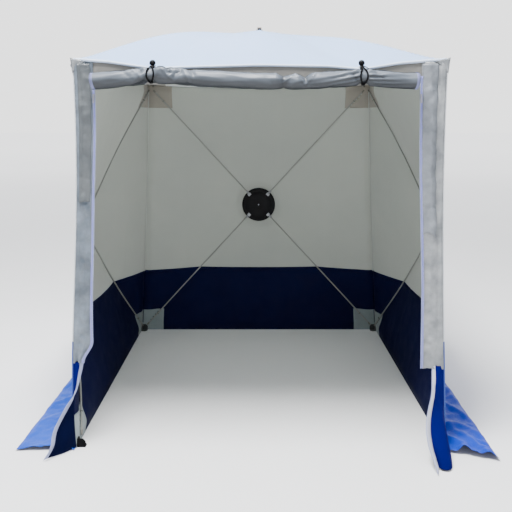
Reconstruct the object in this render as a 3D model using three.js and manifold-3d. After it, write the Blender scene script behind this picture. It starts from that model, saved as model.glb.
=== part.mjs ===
// Hub-framed pop-up shelter, open at the front with its door rolled up.
// Millimetres, +Z up, +X to the right seen from the open front, +Y to the back.
import * as THREE from 'three';
import { mergeVertices } from 'three/addons/utils/BufferGeometryUtils.js';
import Module from 'manifold-3d';

const wasm = await Module();
wasm.setup();

const V = (x, y, z) => new THREE.Vector3(x, y, z);
const root = new THREE.Group();
const SHIFT_Y = -2.0; // moves the middle of the whole model's depth onto the origin, set below

// ---------------------------------------------------------------- materials
const MAT = {
  white: [0xdfe6ee, 0.75, 0], blue: [0x16307e, 0.7, 0], skirt: [0x4a78d0, 0.5, 0],
  strip: [0xc3c8cf, 0.45, 0], black: [0x15171a, 0.45, 0], rod: [0x6c706e, 0.5, 0.1],
  steel: [0xb9bdc0, 0.3, 1], strap: [0x5b5148, 0.9, 0], elastic: [0x101114, 0.85, 0],
};
const material = (name) => {
  const [color, roughness, metalness] = MAT[name];
  return new THREE.MeshStandardMaterial({ color, roughness, metalness });
};

// ---------------------------------------------------------------- solids
function toSolid(geometry) {
  const g = geometry.clone();
  g.deleteAttribute('normal');
  g.deleteAttribute('uv');
  const m = mergeVertices(g, 1e-3);
  let tri = Array.from(m.index.array);
  const p = m.attributes.position.array;
  const keep = [];
  for (let i = 0; i < tri.length; i += 3) {
    const [a, b, c] = [tri[i], tri[i + 1], tri[i + 2]];
    if (a !== b && b !== c && c !== a) keep.push(a, b, c);
  }
  let vol = 0;
  for (let i = 0; i < keep.length; i += 3) {
    const [a, b, c] = [keep[i] * 3, keep[i + 1] * 3, keep[i + 2] * 3];
    vol += p[a] * (p[b + 1] * p[c + 2] - p[b + 2] * p[c + 1])
      - p[a + 1] * (p[b] * p[c + 2] - p[b + 2] * p[c])
      + p[a + 2] * (p[b] * p[c + 1] - p[b + 1] * p[c]);
  }
  if (vol < 0) for (let i = 0; i < keep.length; i += 3) [keep[i + 1], keep[i + 2]] = [keep[i + 2], keep[i + 1]];
  return new wasm.Manifold(new wasm.Mesh({
    numProp: 3, vertProperties: new Float32Array(p), triVerts: new Uint32Array(keep),
  }));
}
function toGeometry(solid) {
  const mesh = solid.getMesh();
  const g = new THREE.BufferGeometry();
  const p = new Float32Array(mesh.numVert * 3);
  for (let i = 0; i < mesh.numVert; i++) for (let k = 0; k < 3; k++) p[i * 3 + k] = mesh.vertProperties[i * mesh.numProp + k];
  g.setAttribute('position', new THREE.BufferAttribute(p, 3));
  g.setIndex(new THREE.BufferAttribute(new Uint32Array(mesh.triVerts), 1));
  const flat = g.toNonIndexed();
  flat.computeVertexNormals();
  return flat;
}
function add(name, solid, slot, parent = root) {
  const mesh = new THREE.Mesh(toGeometry(solid), material(slot));
  mesh.name = name;
  parent.add(mesh);
  return mesh;
}
const placed = (geometry, matrix) => { const g = geometry.clone(); g.applyMatrix4(matrix); return g; };
// a box from corner to corner
function box(x0, y0, z0, x1, y1, z1, nx = 1, ny = 1, nz = 1) {
  const g = new THREE.BoxGeometry(x1 - x0, y1 - y0, z1 - z0, nx, ny, nz);
  g.translate((x0 + x1) / 2, (y0 + y1) / 2, (z0 + z1) / 2);
  return g;
}
// moves each vertex of a geometry by a function of its place
function warp(geometry, f) {
  const p = geometry.attributes.position;
  for (let i = 0; i < p.count; i++) {
    const q = f(p.getX(i), p.getY(i), p.getZ(i));
    p.setXYZ(i, q.x, q.y, q.z);
  }
  return geometry;
}

// ---------------------------------------------------------------- the frame's corners
const Z = 1815, FRONT = -860, BACK = 860;
const C = {
  FTL: V(-875, FRONT, Z), FTR: V(875, FRONT, Z), FBL: V(-860, FRONT, 0), FBR: V(860, FRONT, 0),
  RTL: V(-820, BACK, Z), RTR: V(820, BACK, Z), RBL: V(-866, BACK, 0), RBR: V(866, BACK, 0),
};
// how far the middle of each fabric edge is pulled in from the straight line between its corners
const SAG = {
  FTLFTR: V(0, 0, -34), RTLRTR: V(0, -10, -26), FTLRTL: V(10, 0, -26), FTRRTR: V(-10, 0, -26),
  FBLFTL: V(20, 0, 0), FBRFTR: V(-20, 0, 0), RBLRTL: V(8, -8, 0), RBRRTR: V(-8, -8, 0),
  FBLRBL: V(0, 0, 0), FBRRBR: V(0, 0, 0), RBLRBR: V(0, 0, 0),
};
function edge(a, b, s) {
  const sag = SAG[a + b] ?? SAG[b + a];
  return C[a].clone().lerp(C[b], s).addScaledVector(sag, 1 - (2 * s - 1) ** 2);
}

// each hubbed wall: its corners in order round it, its outward normal, the hub's place on its plane,
// the fabric's height over the plane at the hub, the rods' bow
const WALLS = {
  back: { corners: ['RBL', 'RBR', 'RTR', 'RTL'], n: V(0, 1, 0), hub: V(0, 856, 905), rise: 220, bow: 14 },
  left: { corners: ['FBL', 'RBL', 'RTL', 'FTL'], n: V(-1, 0, 0), hub: V(-855, 0, 905), rise: 220, bow: 14 },
  right: { corners: ['FBR', 'FTR', 'RTR', 'RBR'], n: V(1, 0, 0), hub: V(855, 0, 905), rise: 220, bow: 14 },
  roof: { corners: ['FTL', 'RTL', 'RTR', 'FTR'], n: V(0, 0, 1), hub: V(0, 0, 1812), rise: 246, bow: 40 },
};
const INSET = 40;      // rod tips stand this far in from each fabric edge
const TIP_IN = 15;     // and this far inside the fabric's plane
const PIVOT_R = 108, PIVOT_IN = 22, DISC_R = 127;
const bump = (t) => 16 * t * t * (1 - t) * (1 - t);

// ---------------------------------------------------------------- fabric panel over one hub
// A ring shell from the hole at the hub to the panel's four edges, ruled between the hub's rim
// and each edge, with a bow that is largest over the rods.
const FABRIC = 2, HOLE = 30;
function panel(wall, sides = 8, levels = [0, 0.25, 0.5, 0.75, 1]) {
  const { corners, n, hub, rise, bow } = wall;
  const N = 4 * sides, top = hub.clone().addScaledVector(n, rise);
  const rim = [], outer = [];
  for (let k = 0; k < N; k++) {
    const side = Math.floor(k / sides), f = (k % sides) / sides;
    const b = edge(corners[side], corners[(side + 1) % 4], f);
    const flat = b.clone().sub(hub); flat.addScaledVector(n, -flat.dot(n));
    const reach = flat.length(); flat.normalize();
    b.addScaledVector(flat, -2.6 - (Math.abs(n.z) > 0 ? 1.2 : 0)); // keeps its edge clear of the next panel
    outer.push({ b, dir: flat, m: Math.abs(2 * f - 1) });
    rim.push(top.clone().addScaledVector(flat, 130));
  }
  const at = (k, row) => {
    const o = outer[k % N];
    if (row === 0) return top.clone().addScaledVector(o.dir, HOLE);
    const t = levels[row - 1];
    return rim[k % N].clone().lerp(o.b, t).addScaledVector(n, bow * (0.25 + 0.75 * o.m * o.m) * bump(t));
  };
  const rows = levels.length + 1, profile = [];
  for (let j = 0; j < rows; j++) profile.push(new THREE.Vector2(1 + j, 1));
  for (let j = rows - 1; j >= 0; j--) profile.push(new THREE.Vector2(1 + j, -1));
  profile.push(profile[0].clone());
  const g = new THREE.LatheGeometry(profile, N);
  const p = g.attributes.position, np = profile.length;
  for (let i = 0; i <= N; i++) for (let j = 0; j < np; j++) {
    const jj = j % (2 * rows), up = jj < rows;
    const q = at(i, up ? jj : 2 * rows - 1 - jj).addScaledVector(n, up ? FABRIC / 2 : -FABRIC / 2);
    p.setXYZ(i * np + j, q.x, q.y, q.z);
  }
  // both faces of the cloth are split along the same diagonals, so it is one thickness everywhere
  const tris = g.index.array;
  for (let i = 0; i < N; i++) for (let j = rows; j < np - 1; j++) {
    const a = j + i * np, b = a + np, c = b + 1, d = a + 1;
    tris.set([a, b, c, a, c, d], 6 * (i * (np - 1) + j));
  }
  return toSolid(g);
}
// half-space solids for cutting a wall along its colour seam: 430 high at the back, 505 at the front
const SEAM_BACK = 430, SEAM_FRONT = 505;
const seamZ = (y) => SEAM_BACK + (SEAM_FRONT - SEAM_BACK) * (BACK - y) / (BACK - FRONT);
const lowerSpace = (gap) => toSolid(warp(box(-1500, -1500, -200, 1500, 1500, 100), (x, y, z) => V(x, y, z < 0 ? z : seamZ(y) - gap)));
const backSeam = (gap) => toSolid(box(-1500, 0, -200, 1500, 1500, SEAM_BACK - gap));
function wallPanels(key) {
  const whole = panel(WALLS[key]);
  const low = key === 'back' ? [backSeam(0.6), backSeam(-0.6)] : [lowerSpace(0.6), lowerSpace(-0.6)];
  add(`wall_${key}_lower`, whole.intersect(low[0]), 'blue');
  add(`wall_${key}_upper`, whole.subtract(low[1]), 'white');
}
wallPanels('back'); wallPanels('left'); wallPanels('right');
add('roof_panel', panel(WALLS.roof, 8, [0, 0.2, 0.4, 0.6, 0.8, 1]), 'white');

// ---------------------------------------------------------------- hubs and rods
// A hub's own axes: a = along its normal, u, w = across it. Rods lie on the diagonals.
function basis(n) {
  const up = Math.abs(n.z) > 0.5 ? V(0, 1, 0) : V(0, 0, 1);
  const u = new THREE.Vector3().crossVectors(up, n).normalize();
  return { u, w: new THREE.Vector3().crossVectors(n, u).normalize() };
}
// matrix that takes +X to dir, +Y to side, +Z to n at place
const frameAt = (place, dir, side, n) => new THREE.Matrix4().makeBasis(dir, side, n).setPosition(place);

function rodData(key, corner) {
  const { n, hub, rise, corners } = WALLS[key];
  const c = C[corner];
  // in-plane insets: along each wall axis towards the middle
  const tip = c.clone().addScaledVector(n, -c.clone().sub(hub).dot(n));
  const { u, w } = basis(n);
  for (const e of [u, w]) tip.addScaledVector(e, -Math.sign(c.clone().sub(hub).dot(e)) * INSET);
  tip.addScaledVector(n, c.clone().sub(hub).dot(n) - TIP_IN);
  const dir = tip.clone().sub(hub); dir.addScaledVector(n, -dir.dot(n)); dir.normalize();
  const pivot = hub.clone().addScaledVector(n, rise - PIVOT_IN).addScaledVector(dir, PIVOT_R);
  return { pivot, tip, dir, side: new THREE.Vector3().crossVectors(n, dir).normalize() };
}
const CORNER_NAME = {
  FTL: 'front_top_left', FTR: 'front_top_right', FBL: 'front_bottom_left', FBR: 'front_bottom_right',
  RTL: 'rear_top_left', RTR: 'rear_top_right', RBL: 'rear_bottom_left', RBR: 'rear_bottom_right',
};
function rod(key, corner) {
  const { n, bow } = WALLS[key];
  const { pivot, tip, side } = rodData(key, corner);
  const along = tip.clone().sub(pivot), L = along.length(); along.normalize();
  const up = new THREE.Vector3().crossVectors(along, side).normalize();
  if (up.dot(n) < 0) up.negate();
  // profile: [distance along from the pivot, radius]: ferrule, rod, tip cap
  const P = [[-9, 0], [-9, 7.5], [34, 7.5], [36, 5]];
  for (const t of [0.22, 0.41, 0.59, 0.78]) P.push([L * t, 5]);
  P.push([L - 22, 5], [L - 21, 5.8], [L, 5], [L, 0]);
  const g = new THREE.LatheGeometry(P.map(([s, r]) => new THREE.Vector2(r, s)), 6);
  warp(g, (x, y, z) => {
    const t = Math.min(1, Math.max(0, y / L));
    return pivot.clone().addScaledVector(along, y).addScaledVector(side, x).addScaledVector(up, z + bow * bump(t));
  });
  const pin = new THREE.CylinderGeometry(2.6, 2.6, 29, 6);
  const m = frameAt(pivot, along, side, up);
  return toSolid(g).add(toSolid(placed(pin, m)));
}
function hub(key) {
  const { n, hub: h, rise, corners } = WALLS[key];
  const top = h.clone().addScaledVector(n, rise);
  const { u, w } = basis(n);
  // turned profile about the hub's axis, heights counted from the fabric
  const turned = (pts, seg) => {
    const g = new THREE.LatheGeometry(pts.map(([r, a]) => new THREE.Vector2(r, a)), seg);
    return warp(g, (x, y, z) => top.clone().addScaledVector(u, x).addScaledVector(w, z).addScaledVector(n, y));
  };
  let inner = toSolid(turned([[0, -3], [120, -3], [DISC_R, -8], [DISC_R, -33], [118, -39], [0, -40]], 24));
  // lightening pocket round the middle boss, open towards the fabric
  inner = inner.subtract(toSolid(turned([[31, 5], [90, 5], [90, -34], [31, -34], [31, 5]], 16)));
  for (const corner of corners) {
    const { pivot, dir, side } = rodData(key, corner);
    // open slot for the rod, from inside its pivot to the rim and out through the inner face
    inner = inner.subtract(toSolid(placed(box(-13, -10.5, -30, 40, 10.5, 14), frameAt(pivot, dir, side, n))));
    // cross bore for the rod's pin
    inner = inner.subtract(toSolid(placed(new THREE.CylinderGeometry(3.4, 3.4, 30, 6), frameAt(pivot, dir, side, n))));
  }
  add(`hub_${key}_inner`, inner, 'black');
  // outer plate with the post that goes through the fabric, and two ears for the pull strap
  let outer = toSolid(turned([[0, -2.6], [26, -2.6], [26, 2], [61, 2], [62, 9], [42, 16], [0, 17]], 16));
  const across = u;
  const down = w.clone().multiplyScalar(-1);
  const earBox = (x0, x1) => {
    const g = box(x0, 8, 10, x1, 22, 28);
    return toSolid(warp(g, (x, y, z) => top.clone().addScaledVector(across, x).addScaledVector(down, y).addScaledVector(n, z)));
  };
  outer = outer.add(earBox(-18.5, -14)).add(earBox(14, 18.5));
  add(`hub_${key}_outer`, outer, 'black');
  // pull strap: a webbing loop rolled round its hinge line between the ears
  const shape = new THREE.Shape();
  const x0 = 12.8;
  shape.moveTo(-x0, -4.5); shape.lineTo(x0, -4.5); shape.lineTo(x0, 96); shape.lineTo(x0 - 5, 104); shape.lineTo(-x0 + 5, 104); shape.lineTo(-x0, 96); shape.closePath();
  const slot = new THREE.Path();
  slot.moveTo(-7, 30); slot.lineTo(-7, 92); slot.lineTo(7, 92); slot.lineTo(7, 30); slot.closePath();
  shape.holes.push(slot);
  const g = new THREE.ExtrudeGeometry(shape, { depth: 5, bevelEnabled: false });
  // hinge line 15 below the hub's middle, 23 outside the fabric
  warp(g, (x, y, z) => top.clone().addScaledVector(across, x).addScaledVector(down, y + 15).addScaledVector(n, z + 20.5));
  add(`hub_${key}_pull`, toSolid(g), 'strap');
}
for (const key of Object.keys(WALLS)) {
  hub(key);
  for (const corner of WALLS[key].corners) add(`rod_${key}_${CORNER_NAME[corner]}`, rod(key, corner), 'rod');
}

// ---------------------------------------------------------------- corner cups
// a trihedral cup inside each fabric corner, where the rod tips stand
for (const [name, c] of Object.entries(C)) {
  const sx = Math.sign(c.x), sy = Math.sign(c.y), topC = c.z > 0, sz = topC ? 1 : -1;
  const ox = 3.2, oy = 3.2, oz = topC ? 4.5 : 0.0, a = 40, t = 3;
  // measured inwards from the corner
  const map = (i, j, k) => V(c.x - sx * (ox + i), c.y - sy * (oy + j), c.z - sz * (oz + k));
  const outer = toSolid(warp(box(0, 0, 0, a, a, a), (x, y, z) => map(x, y, z)));
  const inner = toSolid(warp(box(t, t, t, a + 5, a + 5, a + 5), (x, y, z) => map(x, y, z)));
  // round off the free corners of the three plates
  let cup = outer.subtract(inner);
  for (const [i, j, k] of [[1, 1, 0], [1, 0, 1], [0, 1, 1]]) {
    const cut = toSolid(warp(box(-9, -9, -60, 9, 9, 60), (x, y, z) => {
      const r = 0.7071, p = (x - y) * r, q = (x + y) * r;
      return map(i ? (k ? a + p : a + p) : z, j ? (i ? a + q : a + p) : z, k ? a + q : z);
    }));
    cup = cup.subtract(cut);
  }
  add(`corner_cup_${CORNER_NAME[name]}`, cup, 'black');
}

// ---------------------------------------------------------------- front: header, strips, rolled door
const stripX = (side, z) => { // the front vertical edge of a side wall, with its pull-in
  const [b, t] = side < 0 ? ['FBL', 'FTL'] : ['FBR', 'FTR'];
  return edge(b, t, Math.min(1, Math.max(0, z / Z))).x;
};
const ZIP_X = 775; // the door's zip runs straight down at this distance from the middle
const hemZ = (x) => edge('FTL', 'FTR', (x + 875) / 1750).z;
add('front_header', toSolid(warp(box(-866, -865.5, 0, 866, -863.5, 1, 12, 1, 1), (x, y, z) => V(x, y, z < 0.5 ? hemZ(x) - 78 : hemZ(x) - 5))), 'white');
for (const side of [-1, 1]) {
  const name = side < 0 ? 'left' : 'right';
  const top = 1735, mid = 400;
  const g = box(0, 0, 0, 1, 2, 1, 2, 1, 8);
  add(`front_strip_${name}_upper`, toSolid(warp(g, (a, y, c) => {
    const z = mid + 1 + (top - mid - 1) * c, xo = stripX(side, z) - side * 4;
    const x = xo + (side * ZIP_X - xo) * a;
    return V(x, -864.5 - y, Math.min(z, hemZ(x) - 84));
  })), 'strip');
  const h = box(0, 0, 0, 1, 2, 1, 3, 1, 6);
  const endIn = side < 0 ? V(-975, -985, 6) : V(778, -1098, 6);
  add(`front_strip_${name}_lower`, toSolid(warp(h, (a, y, c) => {
    const z = 6 + (mid - 1 - 6) * c, f = (1 - c) ** 1.6, xo = stripX(side, z) - side * 4;
    const inX = side * ZIP_X, dx = inX - xo + (endIn.x - inX) * f, dy = (endIn.y + 864.5) * f, l = Math.hypot(dx, dy);
    return V(xo + dx * a - side * y * dy / l, -864.5 + dy * a + side * y * dx / l, z);
  })), 'blue');
}
// the door, rolled up along the header and held by two ties
const ROLL_R = 45, ROLL_Y = -922;
const TIES = [-500, 470];
function rollZ(x) { // the roll's middle: level at its ends, held up at the ties, sagging between
  if (x < TIES[0] - 12) return 1716 - 10 * (TIES[0] - 12 - x) / 250;
  if (x > TIES[1] + 12) return 1716 - 12 * (x - TIES[1] - 12) / 270;
  const f = Math.min(1, Math.max(0, (x - TIES[0] - 12) / (TIES[1] - TIES[0] - 24)));
  return 1716 - 36 * Math.sin(Math.PI * f);
}
{
  const xs = [-742, -620, -512, -488, -400, -300, -200, -100, -15, 70, 170, 270, 370, 458, 482, 610, 752];
  const P = [[0, xs[0]], ...xs.map((x) => [ROLL_R, x]), [0, xs[xs.length - 1]]];
  const g = new THREE.LatheGeometry(P.map(([r, x]) => new THREE.Vector2(r, x)), 10);
  warp(g, (x, y, z) => V(y, ROLL_Y + x, rollZ(y) + z));
  add('door_roll', toSolid(g), 'strip');
}
TIES.forEach((x, i) => {
  const name = i ? 'right' : 'left', zc = rollZ(x);
  // elastic loop: a closed ring round the roll, ending at the ball above it
  const pts = [];
  for (let k = 0; k < 18; k++) {
    const a = 2 * Math.PI * k / 18;
    const r = ROLL_R + 5;
    pts.push(V(x, ROLL_Y - r * Math.cos(a), zc + r * Math.sin(a)));
  }
  const path = new THREE.CatmullRomCurve3(pts, true);
  const sec = new THREE.Shape();
  for (let k = 0; k < 6; k++) sec[k ? 'lineTo' : 'moveTo'](2.6 * Math.cos(Math.PI * k / 3), 2.6 * Math.sin(Math.PI * k / 3));
  sec.closePath();
  const g = new THREE.ExtrudeGeometry(sec, { extrudePath: path, steps: 20, bevelEnabled: false });
  add(`tie_loop_${name}`, toSolid(g), 'elastic');
  // ball toggle: a half dome on the hem above the roll
  const ball = new THREE.LatheGeometry([[0, 0], [14, 0], [14.5, 5], [11, 12.5], [0, 17]].map(([r, y]) => new THREE.Vector2(r, y)), 10);
  warp(ball, (bx, by, bz) => V(x + bx, -868 - by, hemZ(x) - 8 + bz));
  add(`tie_ball_${name}`, toSolid(ball), 'black');
});

// ---------------------------------------------------------------- zip sliders and pulls
for (const side of [-1, 1]) {
  const name = side < 0 ? 'left' : 'right', z = 1640;
  const x = side * (ZIP_X - 4);
  add(`zip_slider_${name}`, toSolid(box(x - 6, -876, z - 11, x + 6, -867.3, z + 11)), 'black');
  const sh = new THREE.Shape();
  sh.moveTo(-4, 0); sh.lineTo(4, 0); sh.lineTo(5, -36); sh.lineTo(-5, -36); sh.closePath();
  const g = new THREE.ExtrudeGeometry(sh, { depth: 2, bevelEnabled: false });
  warp(g, (px, py, pz) => V(x + px, -876.6 - pz, z + 5 + py));
  add(`zip_pull_${name}`, toSolid(g), 'black');
}

// ---------------------------------------------------------------- ground skirts
const flatPiece = (pts, z0, z1) => {
  const s = new THREE.Shape(); pts.forEach(([x, y], i) => s[i ? 'lineTo' : 'moveTo'](x, y)); s.closePath();
  const g = new THREE.ExtrudeGeometry(s, { depth: z1 - z0, bevelEnabled: false }); g.translate(0, 0, z0);
  return toSolid(g);
};
add('skirt_left', flatPiece([[-862.5, -886], [-1108, -888], [-1108, 1090], [-868.5, 864]], 0, 3), 'skirt');
add('skirt_right', flatPiece([[862.5, -886], [1108, -930], [1108, 1090], [868.5, 864]], 0, 3), 'skirt');
add('skirt_back', flatPiece([[-867, 865], [-1106, 1091.5], [1106, 1091.5], [867, 865]], 0, 3), 'skirt');

root.position.y = SHIFT_Y;
root.updateMatrixWorld(true);
export default root;
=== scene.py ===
import math
import bpy
import bmesh
import numpy as np
from mathutils import Matrix, Vector


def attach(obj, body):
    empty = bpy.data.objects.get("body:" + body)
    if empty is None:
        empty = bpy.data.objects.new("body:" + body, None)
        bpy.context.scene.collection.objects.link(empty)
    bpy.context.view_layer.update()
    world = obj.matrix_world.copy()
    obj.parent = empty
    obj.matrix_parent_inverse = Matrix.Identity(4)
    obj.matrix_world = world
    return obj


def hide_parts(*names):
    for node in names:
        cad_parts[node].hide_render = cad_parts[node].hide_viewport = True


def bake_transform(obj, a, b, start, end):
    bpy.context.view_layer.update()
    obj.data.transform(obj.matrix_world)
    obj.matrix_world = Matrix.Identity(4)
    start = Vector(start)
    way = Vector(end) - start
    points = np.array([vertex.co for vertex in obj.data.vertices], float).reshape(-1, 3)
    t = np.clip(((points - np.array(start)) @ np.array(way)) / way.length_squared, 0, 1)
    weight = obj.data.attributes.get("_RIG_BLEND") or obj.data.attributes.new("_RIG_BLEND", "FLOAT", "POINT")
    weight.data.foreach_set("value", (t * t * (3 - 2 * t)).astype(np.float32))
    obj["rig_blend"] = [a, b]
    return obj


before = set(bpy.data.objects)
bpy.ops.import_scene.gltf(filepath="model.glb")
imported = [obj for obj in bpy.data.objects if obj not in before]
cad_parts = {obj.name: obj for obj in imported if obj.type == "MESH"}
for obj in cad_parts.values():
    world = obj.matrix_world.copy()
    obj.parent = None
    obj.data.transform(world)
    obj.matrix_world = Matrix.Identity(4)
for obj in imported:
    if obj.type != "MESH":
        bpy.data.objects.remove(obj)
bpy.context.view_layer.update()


SY = -0.002  # the part's own shift in Y, metres
scene = bpy.context.scene

# ------------------------------------------------------------------ camera
cam_data = bpy.data.cameras.new("camera")
cam = bpy.data.objects.new("camera", cam_data)
scene.collection.objects.link(cam)
F_PX, V0 = 624.0, 129.0
cam_data.sensor_width = 36.0
cam_data.lens = F_PX / 512.0 * 36.0
cam_data.shift_y = -(256.0 - V0) / 512.0
cam_data.clip_end = 400.0
CAM = Vector((-0.02, -3.774 + SY, 1.488))
cam.location = CAM
cam.rotation_euler = (math.radians(90.0), 0.0, 0.0)
scene.camera = cam


# ------------------------------------------------------------------ seeded noise, in numpy
_rng = np.random.RandomState(7)
_PERM = np.concatenate([_rng.permutation(256)] * 3)
_GRAD = _rng.normal(size=(256, 3))
_GRAD /= np.linalg.norm(_GRAD, axis=1)[:, None]


def perlin(p):
    p = np.asarray(p, float)
    i = np.floor(p).astype(int)
    f = p - i
    u = f * f * f * (f * (f * 6 - 15) + 10)
    total = 0.0
    for dx in (0, 1):
        for dy in (0, 1):
            for dz in (0, 1):
                h = _PERM[_PERM[_PERM[(i[..., 0] + dx) % 256] + (i[..., 1] + dy) % 256] + (i[..., 2] + dz) % 256]
                g = _GRAD[h]
                d = f - np.array([dx, dy, dz])
                wx = u[..., 0] if dx else 1 - u[..., 0]
                wy = u[..., 1] if dy else 1 - u[..., 1]
                wz = u[..., 2] if dz else 1 - u[..., 2]
                total = total + wx * wy * wz * (g * d).sum(-1)
    return total


def fbm(p, octaves=3, gain=0.5):
    p = np.asarray(p, float)
    out, a = 0.0, 1.0
    for k in range(octaves):
        out = out + a * perlin(p * (2.0 ** k) + 17.3 * k)
        a *= gain
    return out


def ridged(p, octaves=2):
    """Creases: 1 on the sharp lines and falling away from them."""
    out, a = 0.0, 1.0
    for k in range(octaves):
        out = out + a * (1 - np.minimum(1, np.abs(perlin(np.asarray(p, float) * (2.0 ** k) + 9.1 * k)) * 4))
        a *= 0.5
    return out


def sm(x):
    x = np.clip(x, 0.0, 1.0)
    return x * x * (3 - 2 * x)


# ------------------------------------------------------------------ mesh helpers
def link(o):
    scene.collection.objects.link(o)
    return o


def mesh_object(name, verts, faces, mats=(), uvs=None, face_mats=None, smooth=True):
    me = bpy.data.meshes.new(name)
    me.from_pydata([tuple(v) for v in verts], [], [tuple(f) for f in faces])
    for m in mats:
        me.materials.append(m)
    if face_mats is not None:
        me.polygons.foreach_set("material_index", np.asarray(face_mats, np.int32))
    if uvs is not None:
        layer = me.uv_layers.new(name="UVMap")
        loops = np.empty(len(me.loops), np.int32)
        me.loops.foreach_get("vertex_index", loops)
        layer.data.foreach_set("uv", np.asarray(uvs, np.float32)[loops].ravel())
    me.update()
    if smooth:
        me.polygons.foreach_set("use_smooth", np.ones(len(me.polygons), bool))
    return link(bpy.data.objects.new(name, me))


def grid_faces(rows, cols, close_cols=False, close_rows=False):
    f = []
    for r in range(rows - (0 if close_rows else 1)):
        r2 = (r + 1) % rows
        for c in range(cols - (0 if close_cols else 1)):
            c2 = (c + 1) % cols
            f.append((r * cols + c, r * cols + c2, r2 * cols + c2, r2 * cols + c))
    return f


def grid_object(name, P, mats, UV=None, outward=None, close_cols=False, close_rows=False, face_mats=None, probe=None):
    """P is rows x cols x 3. The faces are turned so that they look along outward at the grid's middle."""
    P = np.asarray(P, float)
    rows, cols = P.shape[:2]
    faces = grid_faces(rows, cols, close_cols, close_rows)
    if outward is not None:
        r, c = probe or (rows // 2, cols // 2)
        r, c = min(r, rows - 2), min(c, cols - 2)
        nrm = np.cross(P[r, c + 1] - P[r, c], P[r + 1, c] - P[r, c])
        if np.dot(nrm, np.asarray(outward, float)) < 0:
            faces = [f[::-1] for f in faces]
    return mesh_object(name, P.reshape(-1, 3), faces, mats, None if UV is None else np.asarray(UV).reshape(-1, 2), face_mats)


def solidify(o, thickness, offset=-1.0, inner=0, rim=0):
    m = o.modifiers.new("cloth_thickness", "SOLIDIFY")
    m.thickness = thickness
    m.offset = offset
    m.material_offset = inner
    m.material_offset_rim = rim
    m.use_even_offset = False
    return o


def tube(name, path, radius, mats, sides=10, closed=False, caps=True, up=(0, 0, 1)):
    """A swept tube; radius is a number or one for each point."""
    path = np.asarray(path, float)
    n = len(path)
    rad = np.full(n, radius) if np.isscalar(radius) else np.asarray(radius, float)
    if closed:
        tan = np.roll(path, -1, 0) - np.roll(path, 1, 0)
    else:
        tan = np.gradient(path, axis=0)
    tan /= np.linalg.norm(tan, axis=1)[:, None] + 1e-12
    a = np.asarray(up, float)
    if abs(a @ tan[0]) > 0.9:
        a = np.array([1.0, 0, 0])
    verts = []
    for k in range(n):
        a = a - (a @ tan[k]) * tan[k]
        a /= np.linalg.norm(a)
        b = np.cross(tan[k], a)
        for j in range(sides):
            t = 2 * math.pi * j / sides
            verts.append(path[k] + rad[k] * (math.cos(t) * a + math.sin(t) * b))
    faces = grid_faces(n, sides, close_cols=True, close_rows=closed)
    if caps and not closed:
        faces.append(tuple(range(sides))[::-1])
        faces.append(tuple((n - 1) * sides + j for j in range(sides)))
    length = np.concatenate([[0], np.cumsum(np.linalg.norm(np.diff(path, axis=0), axis=1))])
    uv = [(rad[k] * 2 * math.pi * j / sides, length[k]) for k in range(n) for j in range(sides)]
    o = mesh_object(name, verts, [f[::-1] for f in faces], mats, uv)
    return o


def lathe(name, profile, place, u, w, n, mats, seg=64, face_mat=None):
    """Turned about n at place; profile is [(radius, height), ...], closed on the axis at both ends."""
    verts, faces, fm = [], [], []
    rings = []
    for r, h in profile:
        if r < 1e-7:
            rings.append([len(verts)])
            verts.append(place + n * h)
        else:
            ring = []
            for k in range(seg):
                t = 2 * math.pi * k / seg
                ring.append(len(verts))
                verts.append(place + u * (r * math.cos(t)) + w * (r * math.sin(t)) + n * h)
            rings.append(ring)
    for i in range(len(rings) - 1):
        a, b = rings[i], rings[i + 1]
        for k in range(seg):
            k2 = (k + 1) % seg
            if len(a) == 1:
                f = (a[0], b[k2], b[k])
            elif len(b) == 1:
                f = (a[k], a[k2], b[0])
            else:
                f = (a[k], a[k2], b[k2], b[k])
            faces.append(f[::-1])
            fm.append(face_mat(i) if face_mat else 0)
    return mesh_object(name, verts, faces, mats, face_mats=fm)


def box_mesh(lo, hi):
    x0, y0, z0 = lo
    x1, y1, z1 = hi
    v = [(x0, y0, z0), (x1, y0, z0), (x1, y1, z0), (x0, y1, z0), (x0, y0, z1), (x1, y0, z1), (x1, y1, z1), (x0, y1, z1)]
    f = [(3, 2, 1, 0), (4, 5, 6, 7), (0, 1, 5, 4), (1, 2, 6, 5), (2, 3, 7, 6), (3, 0, 4, 7)]
    return v, f


def recalc(o):
    bm = bmesh.new()
    bm.from_mesh(o.data)
    bmesh.ops.recalc_face_normals(bm, faces=bm.faces)
    bm.to_mesh(o.data)
    bm.free()


def apply_all(o):
    """Turns what the modifiers make into the object's own mesh."""
    dg = bpy.context.evaluated_depsgraph_get()
    me = bpy.data.meshes.new_from_object(o.evaluated_get(dg), preserve_all_data_layers=True, depsgraph=dg)
    old = o.data
    o.modifiers.clear()
    o.data = me
    bpy.data.meshes.remove(old)
    return o


def bevel(o, width, segments=2, angle=0.6):
    m = o.modifiers.new("edge", "BEVEL")
    m.width = width
    m.segments = segments
    m.limit_method = "ANGLE"
    m.angle_limit = angle
    m.harden_normals = False
    return o


def sharp_smooth(o, angle=0.6):
    """Smooth faces with sharp edges where they turn by more than angle."""
    me = o.data
    me.polygons.foreach_set("use_smooth", np.ones(len(me.polygons), bool))
    bm = bmesh.new()
    bm.from_mesh(me)
    for e in bm.edges:
        e.smooth = not (len(e.link_faces) == 2 and e.calc_face_angle(0) > angle)
    bm.to_mesh(me)
    bm.free()


# ------------------------------------------------------------------ materials
def nodes_of(name):
    m = bpy.data.materials.new(name)
    m.use_nodes = True
    nt = m.node_tree
    return m, nt, nt.nodes["Principled BSDF"]


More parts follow.
